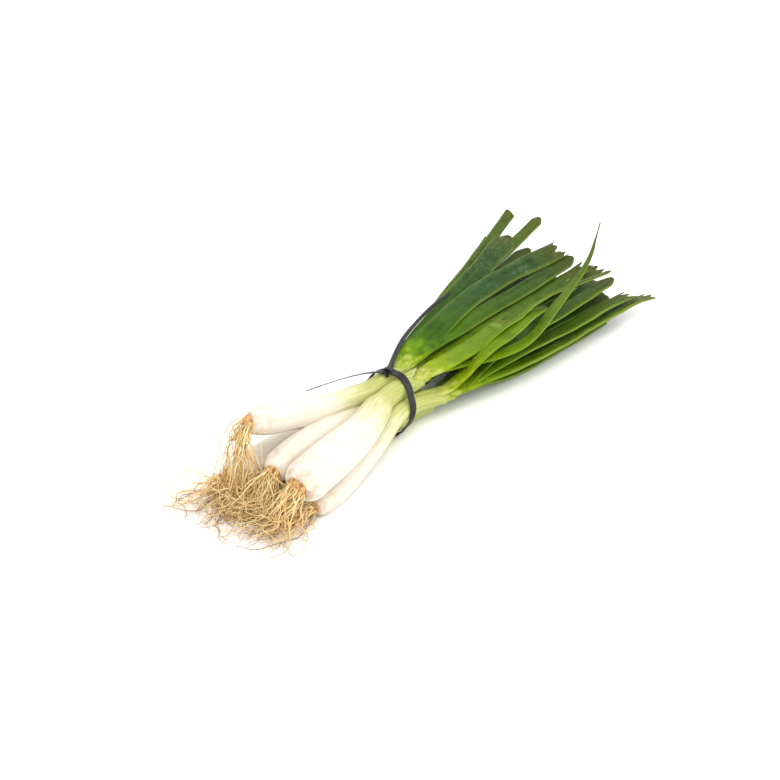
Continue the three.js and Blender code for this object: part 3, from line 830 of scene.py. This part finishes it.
@dataclass
class Stalks:
    """The white shanks, from the end of the bulb to the mouth of the sheath."""

    sides: int = 60
    steps: int = 150
    dome: float = 9.0
    dome_start: float = 0.55
    waist_from: float = -88.0
    waist_over: float = 70.0
    squeeze_from: float = -24.0
    squeeze_over: float = 14.0
    open_from: float = 8.0
    open_over: float = 20.0
    mouth_half: float = 6.9
    mouth_thick: float = 4.9
    ribs: int = 7
    layer: float = 0.42
    wall: float = 0.8
    slant: float = 1.6
    notch: float = 7.0
    notch_width: float = 0.55
    lining: float = 11.0
    lining_steps: int = 6

    def halves(self, onion: Onion, path: Track) -> tuple[np.ndarray, np.ndarray]:
        """Work out a shank's section along its length.

        Args:
            onion: The plant.
            path: Its centre line.

        Returns:
            The half width and the half height at each station.
        """
        dome = np.sqrt(np.maximum(0, 1 - (1 - np.minimum(1, path.run / self.dome)) ** 2))
        x = path.at[:, 0]
        swollen = onion.bulb * (self.dome_start + (1 - self.dome_start) * dome)
        body = between(swollen, onion.waist, eased((x - self.waist_from) / self.waist_over))
        squeezed = between(body, NECK_RADIUS + 0.15, eased((x - self.squeeze_from) / self.squeeze_over))
        opening = eased((x - self.open_from) / self.open_over)
        return between(squeezed, self.mouth_half, opening), between(squeezed, self.mouth_thick, opening)

    def build(self, onion: Onion, number: int, skin: bpy.types.Material) -> bpy.types.Object:
        """Make one shank.

        Args:
            onion: The plant.
            number: Its number, which seeds what varies.
            skin: The material.

        Returns:
            The shank.
        """
        shares = np.linspace(0, 1, self.steps + 1)
        shares = np.concatenate([np.linspace(0, 0.05, 14), shares[shares > 0.052]])
        path = track(onion.knots(), 0, shares=shares)
        half, thick = self.halves(onion, path)
        angle = circle(self.sides)
        run = path.run[:, None]
        draw = random.Random(Seed.RIBS + number)
        ribs = np.zeros((len(run), self.sides))
        for _ in range(self.ribs):
            rate = draw.randint(5, 17)
            turn = draw.uniform(-0.0012, 0.0012)
            swing = np.sin(rate * (angle + turn * run) + draw.uniform(0, 6.3))
            ribs += swing * draw.uniform(0.02, 0.07)
        seam = draw.uniform(1.5, 2.3) + 0.006 * (run - run[-1]) * draw.choice((-1, 1))
        gone = np.mod(angle - seam + math.pi, TURN) - math.pi
        layer = self.layer * eased(0.5 + gone * 12) * eased((2.4 - gone) / 1.6)
        ribs = ribs + layer * eased(run / path.length * 3 - 0.9)
        lumps = wander(Seed.SHANK_LUMPS + number, path.run, 60)[:, None] * 0.25
        grown = ribs * eased(run / 8) + lumps * eased(run / 12)
        across = (half[:, None] + grown) * np.cos(angle)
        over = (thick[:, None] + grown) * np.sin(angle)
        share = path.share[:, None]
        rim = self.slant * np.cos(angle) - self.notch * np.exp(-(gone / self.notch_width) ** 2)
        push = rim * eased((share - 0.9) / 0.1)
        outer = sweep(path, across, over, push)
        back = np.linspace(1.0, 1 - self.lining / path.length, self.lining_steps)
        in_share = np.linspace(0, 1, self.lining_steps)[:, None]
        thin = in_share ** 0.3 * self.wall
        inner_push = rim[-1:] * np.linspace(1, 0, self.lining_steps)[:, None] ** 2
        inner = sweep(track(onion.knots(), 0, shares=back), (half[-1] - thin) * np.cos(angle),
                      (thick[-1] - thin) * np.sin(angle), inner_push)
        lengths = np.concatenate([path.run, path.length + (1 - back[1:]) * path.length])
        along = np.concatenate([path.share, back[1:]])
        shape = Shape()
        shape.loft(np.vstack([outer, inner[1:]]), grain_round(angle, lengths, number * 3.7), {"along": along})
        return shape.finish(onion.name + "_stalk", skin)


@dataclass
class Foliage:
    """The leaves: their laying on one another, and their meshes."""

    sides: int = 40
    steps: int = 100
    wall: float = 0.45
    spread: float = 0.22
    cell: float = 2.0
    laid_steps: int = 60
    fade: float = 46.0
    feelers: tuple[float, ...] = (-0.9, -0.6, -0.3, 0.0, 0.3, 0.6, 0.9)
    rooted: float = 7.0
    open_over: float = 26.0
    point_over: float = 95.0
    base_half: float = 4.2
    base_thick: float = 2.4
    free_base: float = 34.0
    nested: float = 80.0
    hollow: tuple[float, ...] = (0.0, 3.0, 9.0, 15.0)
    layers: tuple[tuple[float, float, float], ...] = ((3.5, 5.9, 4.0), (7.5, 5.0, 3.2))
    routes: dict[int, np.ndarray] = field(default_factory=dict)

    def halves(self, leaf: Leaf, run: np.ndarray, length: float) -> tuple[np.ndarray, np.ndarray]:
        """Work out a leaf's section along its length.

        Args:
            leaf: The leaf.
            run: Places along it.
            length: Its length.

        Returns:
            The half width and the half thickness at each place.
        """
        opening = eased(run / self.open_over)
        left = length - run
        close = np.ones_like(run)
        if leaf.end is End.POINT:
            close = np.maximum(0.12, np.minimum(1, left / self.point_over))
        if leaf.end is End.ROUND:
            close = np.maximum(0.3, np.sqrt(np.minimum(1, np.maximum(0, left) / (1.6 * leaf.half) + 0.05)))
        half = between(min(leaf.half, self.base_half), leaf.half, opening) * close
        thick = between(min(self.base_thick, leaf.half), leaf.thick, opening)
        return half, np.minimum(thick, np.maximum(0.35, half))

    def knots(self, leaf: Leaf) -> list[np.ndarray]:
        """Return the points of a leaf's line before it is laid, from inside the sheath's mouth."""
        onion = next(o for o in ONIONS if o.name == leaf.onion)
        shank = track(onion.knots(), LINE_STEPS)
        mouth, ahead = shank.at[-1], shank.ahead[-1]
        rooted = ahead * self.rooted
        return [mouth - rooted, mouth + rooted, *(np.asarray(p, dtype=float) for p in leaf.via)]

    def lay(self) -> None:
        """Lay the leaves one on another, from the bottom of the pile up.

        A leaf is raised where it would sink into what is under it, and the rise fades out along it.
        """
        tops: dict[tuple[int, int], dict[str, float]] = {}
        for number, leaf in enumerate(LEAVES):
            path = track(self.knots(leaf), self.laid_steps, leaf.roll)
            half, thick = self.halves(leaf, path.run, path.length)
            needed = np.zeros(len(path.run))
            for i, along in enumerate(path.run):
                rise = max(0.0, thick[i] - path.at[i, 2])
                if along >= self.free_base * 0.5:
                    for t in self.feelers:
                        p = path.at[i] + path.side[i] * t * half[i]
                        for owner, top in tops.get(self._cell_of(p), {}).items():
                            if owner == leaf.onion and along < self.nested:
                                continue
                            rise = max(rise, top + thick[i] * math.sqrt(1 - t * t) + GAP - p[2])
                    rise *= float(eased(np.array(along / self.free_base - 0.5)))
                needed[i] = rise
            apart = np.abs(path.run[:, None] - path.run[None]) / self.fade
            fading = np.cos(np.minimum(1, apart) * math.pi / 2) ** 2
            laid = path.at.copy()
            laid[:, 2] += (needed[None] * fading).max(axis=1)
            for i, along in enumerate(path.run):
                if along < self.free_base * 0.5:
                    continue
                for t in np.arange(-1, 1.01, 0.125):
                    p = laid[i] + path.side[i] * t * half[i]
                    here = tops.setdefault(self._cell_of(p), {})
                    top = p[2] + thick[i] * math.sqrt(max(0.0, 1 - t * t))
                    here[leaf.onion] = max(here.get(leaf.onion, 0.0), top)
            self.routes[number] = laid

    def _cell_of(self, p: np.ndarray) -> tuple[int, int]:
        """Return the square of the table that a point is over."""
        return math.floor(p[0] / self.cell + 0.5), math.floor(p[1] / self.cell + 0.5)

    def rim(self, leaf: Leaf, number: int, angle: np.ndarray) -> np.ndarray:
        """Shape a leaf's end.

        Args:
            leaf: The leaf.
            number: Its number, which seeds the tear.
            angle: Places round the leaf.

        Returns:
            How far each place stands past or short of the end.
        """
        if leaf.end is End.CUT:
            return 1.4 * np.cos(angle) + 0.25 * np.sin(5 * angle + number)
        if leaf.end is not End.TORN:
            return np.zeros_like(angle)
        draw = random.Random(Seed.TEAR + number)
        teeth = draw.randint(4, 6)
        places, reach = [], []
        for k in range(teeth):
            places += [(k + draw.uniform(0.1, 0.45)) / teeth, (k + draw.uniform(0.55, 0.9)) / teeth]
            reach += [draw.uniform(1.0, 5.0), draw.uniform(-6.0, -1.5)]
        return np.interp(angle / TURN, places, reach, period=1.0)

    def add(self, shape: Shape, leaf: Leaf, number: int) -> None:
        """Add one leaf to its plant's mesh.

        Args:
            shape: The mesh.
            leaf: The leaf.
            number: Its number in the pile.
        """
        even = np.linspace(0, 1, self.steps + 1)
        shares = 1 - (1 - even) ** 1.35 if leaf.end is End.ROUND else even
        length = track(self.routes[number], 4).length
        roll = leaf.roll + 7 * wander(Seed.LEAF_ROLL + number, shares * length, 150) * eased(shares * 3)
        path = track(self.routes[number], 0, roll, shares)
        half, thick = self.halves(leaf, path.run, path.length)
        width = 1.04 + 0.06 * wander(Seed.LEAF_WIDTH + number, path.run, 70)
        half = half * (width + self.spread * np.exp(-path.run / 40))
        angle = circle(self.sides) + math.pi * 1.5
        cos, sin = np.cos(angle), np.sin(angle)
        deep_here = 0.65 + 0.35 * wander(Seed.CHANNEL + number, path.run, 90)
        depth = leaf.channel * deep_here * eased(path.run / 60)
        drift = 0.22 * wander(Seed.CHANNEL_DRIFT + number, path.run, 120)[:, None]
        pinch = np.exp(-((cos - drift) / 0.42) ** 2) * depth[:, None]
        for k in range(3):
            beside = (-0.62, 0.55, 0.05)[k] + 0.16 * wander(Seed.FOLD_PLACE + number * 3 + k, path.run, 110)
            open_up = eased(0.4 + wander(Seed.FOLD_DEPTH + number * 3 + k, path.run, 100))
            fold = 0.22 * open_up * eased(path.run / 30)
            pinch = pinch + np.exp(-((cos - beside[:, None]) / 0.16) ** 2) * fold[:, None]
        across = half[:, None] * cos
        body = np.sign(sin) * np.abs(sin) ** 0.85
        over = thick[:, None] * (body - np.where(sin > 0, pinch * 0.85, -pinch * 0.25))
        ripple = 0.12 * wander(Seed.LEAF_RIPPLE + number, path.run, 26)[:, None]
        over = over + ripple * eased(path.run[:, None] / 30)
        rim = self.rim(leaf, number, np.mod(angle, TURN))
        ease_out = eased((path.share[:, None] - 1) * path.length / 7 + 1)
        outer = sweep(path, across, over, rim * ease_out)
        inside = np.zeros(len(outer))
        lengths = path.run
        alongs = path.share
        rings = outer
        if leaf.end in (End.CUT, End.TORN):
            last = path.part(slice(-1, None))
            a = np.sign(cos) * np.maximum(np.abs(across[-1:]) - self.wall, 0.05)
            o = np.sign(over[-1:]) * np.maximum(np.abs(over[-1:]) - self.wall, 0.05)
            backs = np.array(self.hollow)
            inner = [sweep(Track(last.at - last.ahead * back, last.ahead, last.side, last.up, last.run), a, o,
                           rim * (1 - back / self.hollow[-1]) ** 2) for back in backs]
            rings = np.vstack([outer, *inner])
            inside = np.concatenate([inside, [0.4, 1, 1, 1]])
            lengths = np.concatenate([lengths, path.length - backs])
            alongs = np.concatenate([alongs, 1 - backs / path.length])
        grain = grain_round(angle, lengths, number * np.array([1.37, 2.11, 0.73]))
        draw = random.Random(Seed.LEAF_SHADE + number)
        deep = float(np.clip(leaf.tint.value[0] + draw.uniform(-0.15, 0.15), 0, 1))
        blue = float(np.clip(leaf.tint.value[1] + draw.uniform(-0.1, 0.1), 0, 1))
        shape.loft(rings, grain, {
            "reach": np.maximum(0, lengths - self.rooted) * MM,
            "along": alongs,
            "inside": inside,
            # where the painted side highlight goes: strongest at the leaf's folded sides, none on its flat
            # faces
            "rim_highlight": np.abs(np.broadcast_to(cos, rings.shape[:2])) ** 10,
            "deepness": np.full(len(rings), deep),
            "blueness": np.full(len(rings), blue),
        })

    def collars(self, shape: Shape, onion: Onion, number: int) -> None:
        """Add the inner layers of the sheath, which stand out of its mouth round the leaves.

        Args:
            shape: The mesh of the plant's leaves.
            onion: The plant.
            number: Its number, which seeds how the layers are cut.
        """
        shank = track(onion.knots(), LINE_STEPS)
        draw = random.Random(Seed.COLLAR + number)
        angle = circle(self.sides)
        inwards = slice(12, 7, -1)
        for order, (reach, width, height) in enumerate(self.layers):
            start, mouth, ahead = shank.at[190], shank.at[-1], shank.ahead[-1]
            path = track([start, mouth, mouth + ahead * reach], 14)
            rim = 4.5 * np.cos(angle - draw.uniform(0, TURN)) - 1.5
            grow = eased(path.share[:, None] * 2 - 1)
            rings, runs = [], []
            for line, thin, push in ((path, 0.0, grow), (path.part(inwards), 0.6, grow[inwards])):
                full = np.ones_like(push)
                across = (width - thin) * np.cos(angle) * full
                rings.append(sweep(line, across, (height - thin) * np.sin(angle) * full, rim * push))
                runs.append(line.run)
            lengths = np.concatenate(runs)
            zeros = np.zeros(len(lengths))
            values = dict.fromkeys(("along", "inside", "rim_highlight", "blueness"), zeros)
            values.update(reach=zeros + 0.002 * order, deepness=zeros + 0.2)
            shape.loft(np.vstack(rings), grain_round(angle, lengths, number * 5.1), values)

    def build(self, onion: Onion, number: int, green: bpy.types.Material) -> bpy.types.Object:
        """Make one plant's leaves.

        Args:
            onion: The plant.
            number: Its number.
            green: The material.

        Returns:
            The leaves, as one object.
        """
        shape = Shape()
        for index, leaf in enumerate(LEAVES):
            if leaf.onion == onion.name:
                self.add(shape, leaf, index)
        self.collars(shape, onion, number)
        return shape.finish(onion.name + "_green", green)


@dataclass
class RootTree:
    """The node tree that turns strands into tubes: its inputs are named for what they size."""

    sides: int = 5
    seed: int = 11
    ids: dict[str, str] = field(default_factory=dict)

    @staticmethod
    def _socket(sockets: bpy.types.bpy_prop_collection, key: Union[str, int]) -> bpy.types.NodeSocket:
        """Return a socket by its number, or the one of that name that is in use."""
        if isinstance(key, int):
            return sockets[key]
        return next(s for s in sockets if s.name == key and s.enabled)

    def make(self) -> bpy.types.NodeTree:
        """Build the tree.

        Returns:
            The tree, whose input identifiers are kept in ids.
        """
        tree = bpy.data.node_groups.new("root_tubes", "GeometryNodeTree")
        for name, kind in (("Strands", "Geometry"), ("Thickness", "Float"), ("Sides", "Int"), ("Seed", "Int"),
                           ("Finish", "Material")):
            socket = tree.interface.new_socket(name, in_out="INPUT", socket_type="NodeSocket" + kind)
            self.ids[name] = socket.identifier
        tree.interface.new_socket("Tubes", in_out="OUTPUT", socket_type="NodeSocketGeometry")
        nodes = {name: tree.nodes.new(kind) for name, kind in (
            ("given", "NodeGroupInput"), ("made", "NodeGroupOutput"), ("draw", "FunctionNodeRandomValue"),
            ("shade", "GeometryNodeStoreNamedAttribute"), ("along", "GeometryNodeStoreNamedAttribute"),
            ("place", "GeometryNodeSplineParameter"), ("radius", "GeometryNodeInputRadius"),
            ("times", "ShaderNodeMath"), ("section", "GeometryNodeCurvePrimitiveCircle"),
            ("tubes", "GeometryNodeCurveToMesh"), ("smooth", "GeometryNodeSetShadeSmooth"),
            ("real", "GeometryNodeRealizeInstances"), ("dressed", "GeometryNodeSetMaterial"))}
        nodes["draw"].data_type = "FLOAT"
        nodes["shade"].data_type, nodes["shade"].domain = "FLOAT", "CURVE"
        nodes["along"].data_type, nodes["along"].domain = "FLOAT", "POINT"
        nodes["times"].operation = "MULTIPLY"
        for name, socket, value in (("shade", "Name", "shade"), ("along", "Name", "along"),
                                    ("section", "Radius", 1.0), ("tubes", "Fill Caps", True)):
            nodes[name].inputs[socket].default_value = value
        for source, output, target, goal in (
                ("given", "Seed", "draw", "Seed"), ("given", "Strands", "shade", "Geometry"),
                ("draw", "Value", "shade", "Value"), ("shade", "Geometry", "along", "Geometry"),
                ("place", "Factor", "along", "Value"), ("radius", "Radius", "times", 0),
                ("given", "Thickness", "times", 1), ("times", 0, "tubes", "Scale"),
                ("given", "Sides", "section", "Resolution"), ("along", "Geometry", "tubes", "Curve"),
                ("section", "Curve", "tubes", "Profile Curve"), ("tubes", "Mesh", "smooth", "Geometry"),
                ("smooth", "Geometry", "real", "Geometry"), ("real", "Geometry", "dressed", "Geometry"),
                ("given", "Finish", "dressed", "Material"), ("dressed", "Geometry", "made", "Tubes")):
            tree.links.new(self._socket(nodes[source].outputs, output),
                           self._socket(nodes[target].inputs, goal))
        return tree


@dataclass
class Roots:
    """The root plates and the roots, which droop to the table and lie there in a tangle."""

    coarse: int = 44
    fine: int = 60
    steps: int = 9
    thickness: float = 0.31
    reach: float = 34.0
    root_share: float = 0.46
    fine_length: float = 20.0
    coarse_length: float = 28.0
    more_length: float = 28.0
    pile: float = 15.0
    plate_sides: int = 28
    plate_share: float = 0.52
    profile: tuple[tuple[float, float], ...] = ((-3.0, 0.34), (-2.7, 0.62), (-2.1, 0.84), (-1.3, 0.98),
                                                (-0.4, 1.04), (0.6, 1.0), (1.4, 0.9))
    tree: RootTree = field(default_factory=RootTree)

    def route(self, onion: Onion, shank: Track, number: int, fine: bool) -> np.ndarray:
        """Grow one root.

        Args:
            onion: The plant.
            shank: Its centre line.
            number: The root's number.
            fine: Whether it is one of the thin ones.

        Returns:
            The points of the root, from inside the plate to its tip.
        """
        draw = random.Random(number * 131 + ONIONS.index(onion) * 7907 + (5 if fine else 0))
        out = -shank.ahead[0]
        side = np.cross([0.0, 0.0, 1.0], out)
        side /= np.linalg.norm(side)
        over = np.cross(out, side)
        turn_round = number * 2.39996 + draw.random()
        share = 0.35 + 0.65 * draw.random() ** 0.6
        reach = share * onion.bulb * self.root_share
        c, s = math.cos(turn_round), math.sin(turn_round)
        at = shank.at[0] + out * 0.2 + side * reach * c + over * reach * s
        lean = 0.2 + 0.9 * draw.random()
        heading = out + side * lean * c + over * lean * s
        start_height = float(shank.at[0, 2])
        heading[2] -= 0.03 * start_height
        heading /= np.linalg.norm(heading)
        shortest = self.fine_length if fine else self.coarse_length
        length = shortest + self.more_length * draw.random() ** 1.3 + 0.5 * start_height
        rest = 0.5 + self.pile * draw.random() ** 1.5
        spin = 5.5 * (draw.random() - 0.5)
        step = length / self.steps
        points = [at - out * 1.4, at.copy()]
        at = at + out * 1.6
        for _ in range(self.steps):
            inwards = MAT_MIDDLE - at
            inwards[2] = 0
            far = float(np.linalg.norm(inwards)) + 1e-6
            heading = heading + inwards / far * (0.17 + max(0.0, far - self.reach) * 0.05)
            heading[2] -= (0.26 + 0.014 * start_height) * 6 / self.steps
            angle = spin * 0.16 + 1.5 * (draw.random() - 0.5)
            c, s = math.cos(angle), math.sin(angle)
            heading = np.array([heading[0] * c - heading[1] * s, heading[0] * s + heading[1] * c,
                                heading[2] + 0.5 * (draw.random() - 0.5)])
            heading /= np.linalg.norm(heading)
            at = at + heading * step
            if at[2] < rest:
                at[2] = rest
                heading[2] = max(heading[2], 0.0)
            points.append(at.copy())
        line = smooth_path(points, 5)
        far = np.arange(len(line)) * length / len(line)
        curl = draw.uniform(0.3, 1.6) * np.minimum(1, far / 8)
        wave = draw.uniform(12, 26)
        for k in range(3):
            line[:, k] += curl * wander(draw.randrange(10 ** 6), far, wave * (1, 1, 1.4)[k])
        return line

    def strands(self, onion: Onion) -> bpy.types.Object:
        """Draw a plant's roots as a curve of many strands.

        Args:
            onion: The plant.

        Returns:
            The curve object.
        """
        shank = track(onion.knots(), LINE_STEPS)
        curve = bpy.data.curves.new(onion.name + "_strands", "CURVE")
        curve.dimensions = "3D"
        coarse, fine_ones = round(self.coarse * onion.rooty), round(self.fine * onion.rooty)
        for number in range(coarse + fine_ones):
            fine = number >= coarse
            places = self.route(onion, shank, number, fine)
            places[:, 0] += FOOT
            share = np.linspace(0, 1, len(places))
            radius = (0.55 if fine else 1.0) * (1.25 - 0.85 * share)
            places[:, 2] = np.maximum(places[:, 2], radius * self.thickness + 0.05)
            spline = curve.splines.new("POLY")
            spline.points.add(len(places) - 1)
            four = np.hstack([places * MM, np.ones((len(places), 1))])
            spline.points.foreach_set("co", four.ravel())
            spline.points.foreach_set("radius", radius)
        return stand(curve.name, curve)

    def plate(self, onion: Onion, number: int, cork: bpy.types.Material) -> bpy.types.Object:
        """Make a plant's root plate.

        Args:
            onion: The plant.
            number: Its number, which seeds its lumps.
            cork: The material.

        Returns:
            The plate.
        """
        shank = track(onion.knots(), LINE_STEPS)
        along, widths = np.array(self.profile).T
        at = shank.at[0][None] + shank.ahead[0][None] * along[:, None]
        many = len(along)
        path = Track(at, np.repeat(shank.ahead[:1], many, 0), np.repeat(shank.side[:1], many, 0),
                     np.repeat(shank.up[:1], many, 0), np.linspace(0, 3, many))
        angle = circle(self.plate_sides)
        draw = random.Random(Seed.PLATE + number)
        turn = along[:, None] * 0.8
        lumps = sum(draw.uniform(0.03, 0.07) * np.sin(k * angle + turn * j + draw.uniform(0, 6))
                    for j, k in enumerate((3, 5, 7, 11)))
        wide = onion.bulb * self.plate_share * widths[:, None] * (1 + lumps)
        rings = sweep(path, wide * np.cos(angle), wide * np.sin(angle))
        shape = Shape()
        shape.loft(rings, rings * 0.1, {"along": np.zeros(many)})
        return shape.finish(onion.name + "_plate", cork)

    def build(self, onion: Onion, number: int, tree: bpy.types.NodeTree, straw: bpy.types.Material,
              ) -> bpy.types.Object:
        """Make a plant's roots.

        Args:
            onion: The plant.
            number: Its number, which seeds their shades.
            tree: The node tree that makes tubes of strands.
            straw: The material.

        Returns:
            The roots, as one mesh.
        """
        strands = self.strands(onion)
        modifier = strands.modifiers.new("tubes", "NODES")
        modifier.node_group = tree
        modifier[self.tree.ids["Thickness"]] = self.thickness * MM
        modifier[self.tree.ids["Sides"]] = self.tree.sides
        modifier[self.tree.ids["Seed"]] = self.tree.seed + number
        modifier[self.tree.ids["Finish"]] = straw
        bpy.context.view_layer.update()
        seen = strands.evaluated_get(bpy.context.evaluated_depsgraph_get())
        mesh = bpy.data.meshes.new_from_object(seen)
        mesh.name = onion.name + "_tuft"
        obj = stand(mesh.name, mesh)
        strands.modifiers.clear()
        curve = strands.data
        bpy.data.objects.remove(strands)
        bpy.data.curves.remove(curve)
        return obj


@dataclass
class Strip:
    """The black strip: a flat loop round the necks, a knot on top and two free ends."""

    count: int = 144
    thickness: float = 0.55
    inner: float = NECK_RADIUS + GAP - 0.05
    bulge: float = 0.9
    section: tuple[tuple[float, float], ...] = (
        (-1, 0.1), (-0.5, 0.0), (0, 0.08), (0.5, 0.0), (1, 0.1), (1.04, 0.5), (0.8, 0.95), (0.5, 0.75),
        (0.2, 1.05), (-0.1, 0.65), (-0.45, 1.1), (-0.75, 0.8), (-1.04, 0.6))

    def loop(self, shape: Shape) -> None:
        """Add the loop, which follows the outline of the necks and leans towards the leaves."""
        necks = [onion.neck() for onion in ONIONS]
        angle = circle(self.count)[0]
        section = [(STRIP_WIDTH / 2 * share, out) for share, out in self.section]
        many = len(section)
        rings = np.empty((self.count, many, 3))
        centres = []
        for a in angle:
            reach = [y * math.cos(a) + z * math.sin(a) for y, z in necks]
            top = max(reach)
            weights = [math.exp((r - top) * 0.6) for r in reach]
            total = sum(weights)
            y, z = (sum(w * n[k] for w, n in zip(weights, necks)) / total for k in (0, 1))
            slack = top - y * math.cos(a) - z * math.sin(a) + self.bulge * math.sin(3 * a) ** 2
            centres.append((y + slack * math.cos(a), z + slack * math.sin(a)))
        wave = wander(Seed.STRIP_WAVE, angle * 20, 40)
        folds = np.stack([0.16 * wander(Seed.STRIP_FOLDS + j, angle * 20, 16) for j in range(many)])
        for i, a in enumerate(angle):
            uy, uz = math.cos(a), math.sin(a)
            y, z = centres[i]
            for j, (along, out) in enumerate(section):
                far = self.inner + out * (1.0 + 0.15 * wave[i] + folds[j, i])
                height = z + uz * far
                x = along + 0.25 * wave[i] + (height - NECK_HEIGHT) * STRIP_LEAN
                rings[i, j] = (x, y + uy * far, max(0.0, height))
        grain = grain_round(circle(many), angle, rate=0.2)
        first = shape.count
        shape.points.append(rings.reshape(-1, 3))
        shape.grains.append(grain.reshape(-1, 3))
        for i in range(self.count):
            n = (i + 1) % self.count
            for j in range(many):
                k = (j + 1) % many
                corners = (i * many + j, i * many + k, n * many + k, n * many + j)
                shape.faces.append(tuple(first + c for c in corners))
        shape.count += self.count * many

    def ribbon(self, shape: Shape, knots: Sequence[Point], turns: tuple[float, float],
               halves: tuple[float, float], steps: int = 60) -> None:
        """Add a length of strip.

        Args:
            shape: The mesh.
            knots: The points that it passes.
            turns: How far it is turned about its length at its two ends, in degrees.
            halves: Half its width at its two ends.
            steps: How many steps it takes.
        """
        share = np.linspace(0, 1, steps + 1)
        path = track(knots, steps, turns[0] + (turns[1] - turns[0]) * share)
        half = (halves[0] + (halves[1] - halves[0]) * share)[:, None]
        angle = circle(12)
        thick = self.thickness / 2 * (1 + 0.2 * wander(Seed.RIBBON, path.run, 20)[:, None])
        fold = 0.22 * half * np.cos(angle * 2) * np.sin(path.run[:, None] / 17)
        rings = sweep(path, half * np.cos(angle), thick * np.sin(angle) + fold * 0.35)
        shape.loft(rings, grain_round(angle, path.run), {})

    def build(self, film: bpy.types.Material) -> bpy.types.Object:
        """Make the strip.

        Args:
            film: The material.

        Returns:
            The strip.
        """
        shape = Shape()
        self.loop(shape)
        self.ribbon(shape, SHORT_TAIL, (0, 70), (1.7, 0.35))
        self.ribbon(shape, LONG_TAIL, (0, 25), (1.7, 0.9))
        x, y, z = KNOT
        across = [(x - 3.4, y - 2.4, z - 0.6), (x - 2.6, y + 0.6, z + 1.2), (x, y + 1.6, z + 1.8),
                  (x + 2.4, y + 0.4, z + 1.2), (x + 3.2, y - 2.2, z - 0.4)]
        self.ribbon(shape, across, (20, -30), (1.5, 1.4), 24)
        wrap = [(x + 1.4, y - 2.6, z - 0.8), (x + 0.6, y - 1.4, z + 1.9), (x - 0.4, y + 1.2, z + 2.2),
                (x - 1.0, y + 2.8, z + 0.2)]
        self.ribbon(shape, wrap, (10, 30), (1.6, 1.5), 20)
        return shape.finish("strip", film)


@dataclass
class Studio:
    """The pale table, the soft lights and the camera."""

    eye: Point = (-692.6 + FOOT, -591.0, 664.7)
    elevation: float = 35.0
    azimuth: float = -49.6
    lens: float = 85.0
    aim: Point = (0.03, 0.0, 0.02)
    pale: str = "#fbfbfa"
    grey: str = "#f7f7f6"
    table_half: float = 4.0

    def table(self) -> None:
        """Lay the table, a wide pale surface."""
        net = Net("pale_table")
        mottle = net.noise(net.place(), 3.0, 2.0)
        colour = net.mix(mottle * 0.3, self.pale, self.grey)
        material = net.surface({"Base Color": colour, "Roughness": 0.9})
        mesh = bpy.data.meshes.new("table")
        reach = self.table_half
        corners = [(-reach, -reach, 0), (reach, -reach, 0), (reach, reach, 0), (-reach, reach, 0)]
        mesh.from_pydata(corners, [], [(0, 1, 2, 3)])
        mesh.materials.append(material)
        stand("table", mesh)

    def lamp(self, name: str, place: Point, size: float, power: float, colour: Point = (1, 1, 1)) -> None:
        """Hang a square soft light that points at the bunch.

        Args:
            name: The light's name.
            place: Where it hangs, in metres.
            size: Its side, in metres.
            power: Its power, in watts.
            colour: Its colour.
        """
        light = bpy.data.lights.new(name, "AREA")
        light.shape = "SQUARE"
        light.size = size
        light.energy = power
        light.color = colour
        aim = (Vector(self.aim) - Vector(place)).to_track_quat("-Z", "Y")
        stand(name, light).matrix_world = Matrix.Translation(place) @ aim.to_matrix().to_4x4()

    def light(self) -> None:
        """Light the table: the key from over the camera, a fill from its right, one from behind."""
        world = bpy.data.worlds.new("studio")
        world.use_nodes = True
        background = world.node_tree.nodes["Background"]
        background.inputs["Color"].default_value = (1.0, 1.0, 1.0, 1.0)
        background.inputs["Strength"].default_value = 0.9
        bpy.context.scene.world = world
        self.lamp("key", (-0.7, -0.45, 1.5), 1.0, 17.0, (1.0, 0.985, 0.96))
        self.lamp("fill", (1.0, -1.2, 0.9), 1.4, 15.0, (0.985, 0.99, 1.0))
        self.lamp("back", (0.9, 1.1, 1.1), 0.9, 6.0)
        bpy.context.scene.view_settings.view_transform = "Standard"

    def camera(self) -> None:
        """Stand the camera at the photograph's angle."""
        data = bpy.data.cameras.new("camera")
        data.lens = self.lens
        data.sensor_width = 36.0
        data.sensor_fit = "HORIZONTAL"
        data.clip_end = 20.0
        obj = stand("camera", data)
        a, e = math.radians(self.azimuth), math.radians(self.elevation)
        back = Vector((math.sin(a) * math.cos(e), -math.cos(a) * math.cos(e), math.sin(e)))
        right = Vector((math.cos(a), math.sin(a), 0.0))
        up = back.cross(right)
        turn = Matrix((right, up, back)).transposed().to_4x4()
        obj.matrix_world = Matrix.Translation(Vector(self.eye) * MM) @ turn
        bpy.context.scene.camera = obj


def dress(piece: bpy.types.Object, slot: str, *nodes: str) -> None:
    """Put a piece on the part.

    Args:
        piece: The piece.
        slot: Not used.
        nodes: The nodes that it stands for.
    """
    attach(piece, "root")
    if nodes:
        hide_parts(*nodes)
    LOG.info("%s: %d faces", piece.name, len(piece.data.polygons))


def main() -> None:
    """Build the bunch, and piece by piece."""
    logging.basicConfig(level=logging.INFO, format="%(name)s %(message)s")
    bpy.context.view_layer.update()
    studio = Studio()
    studio.camera()
    studio.light()
    studio.table()
    skin, green = ShankFinish().make(), LeafFinish().make()
    straw, cork, film = RootFinish().make(), PlateFinish().make(), StripFinish().make()
    stalks, foliage, roots = Stalks(), Foliage(), Roots()
    foliage.lay()
    tree = roots.tree.make()
    for number, onion in enumerate(ONIONS):
        dress(stalks.build(onion, number, skin), "white_shank", onion.name + "_shank")
        dress(foliage.build(onion, number, green), "green_leaf", onion.name + "_leaves")
        dress(roots.build(onion, number, tree, straw), "straw_root", onion.name + "_roots")
        dress(roots.plate(onion, number, cork), "straw_root")
    dress(Strip().build(film), "black_strip", "tie")


if __name__ == "__main__":
    main()
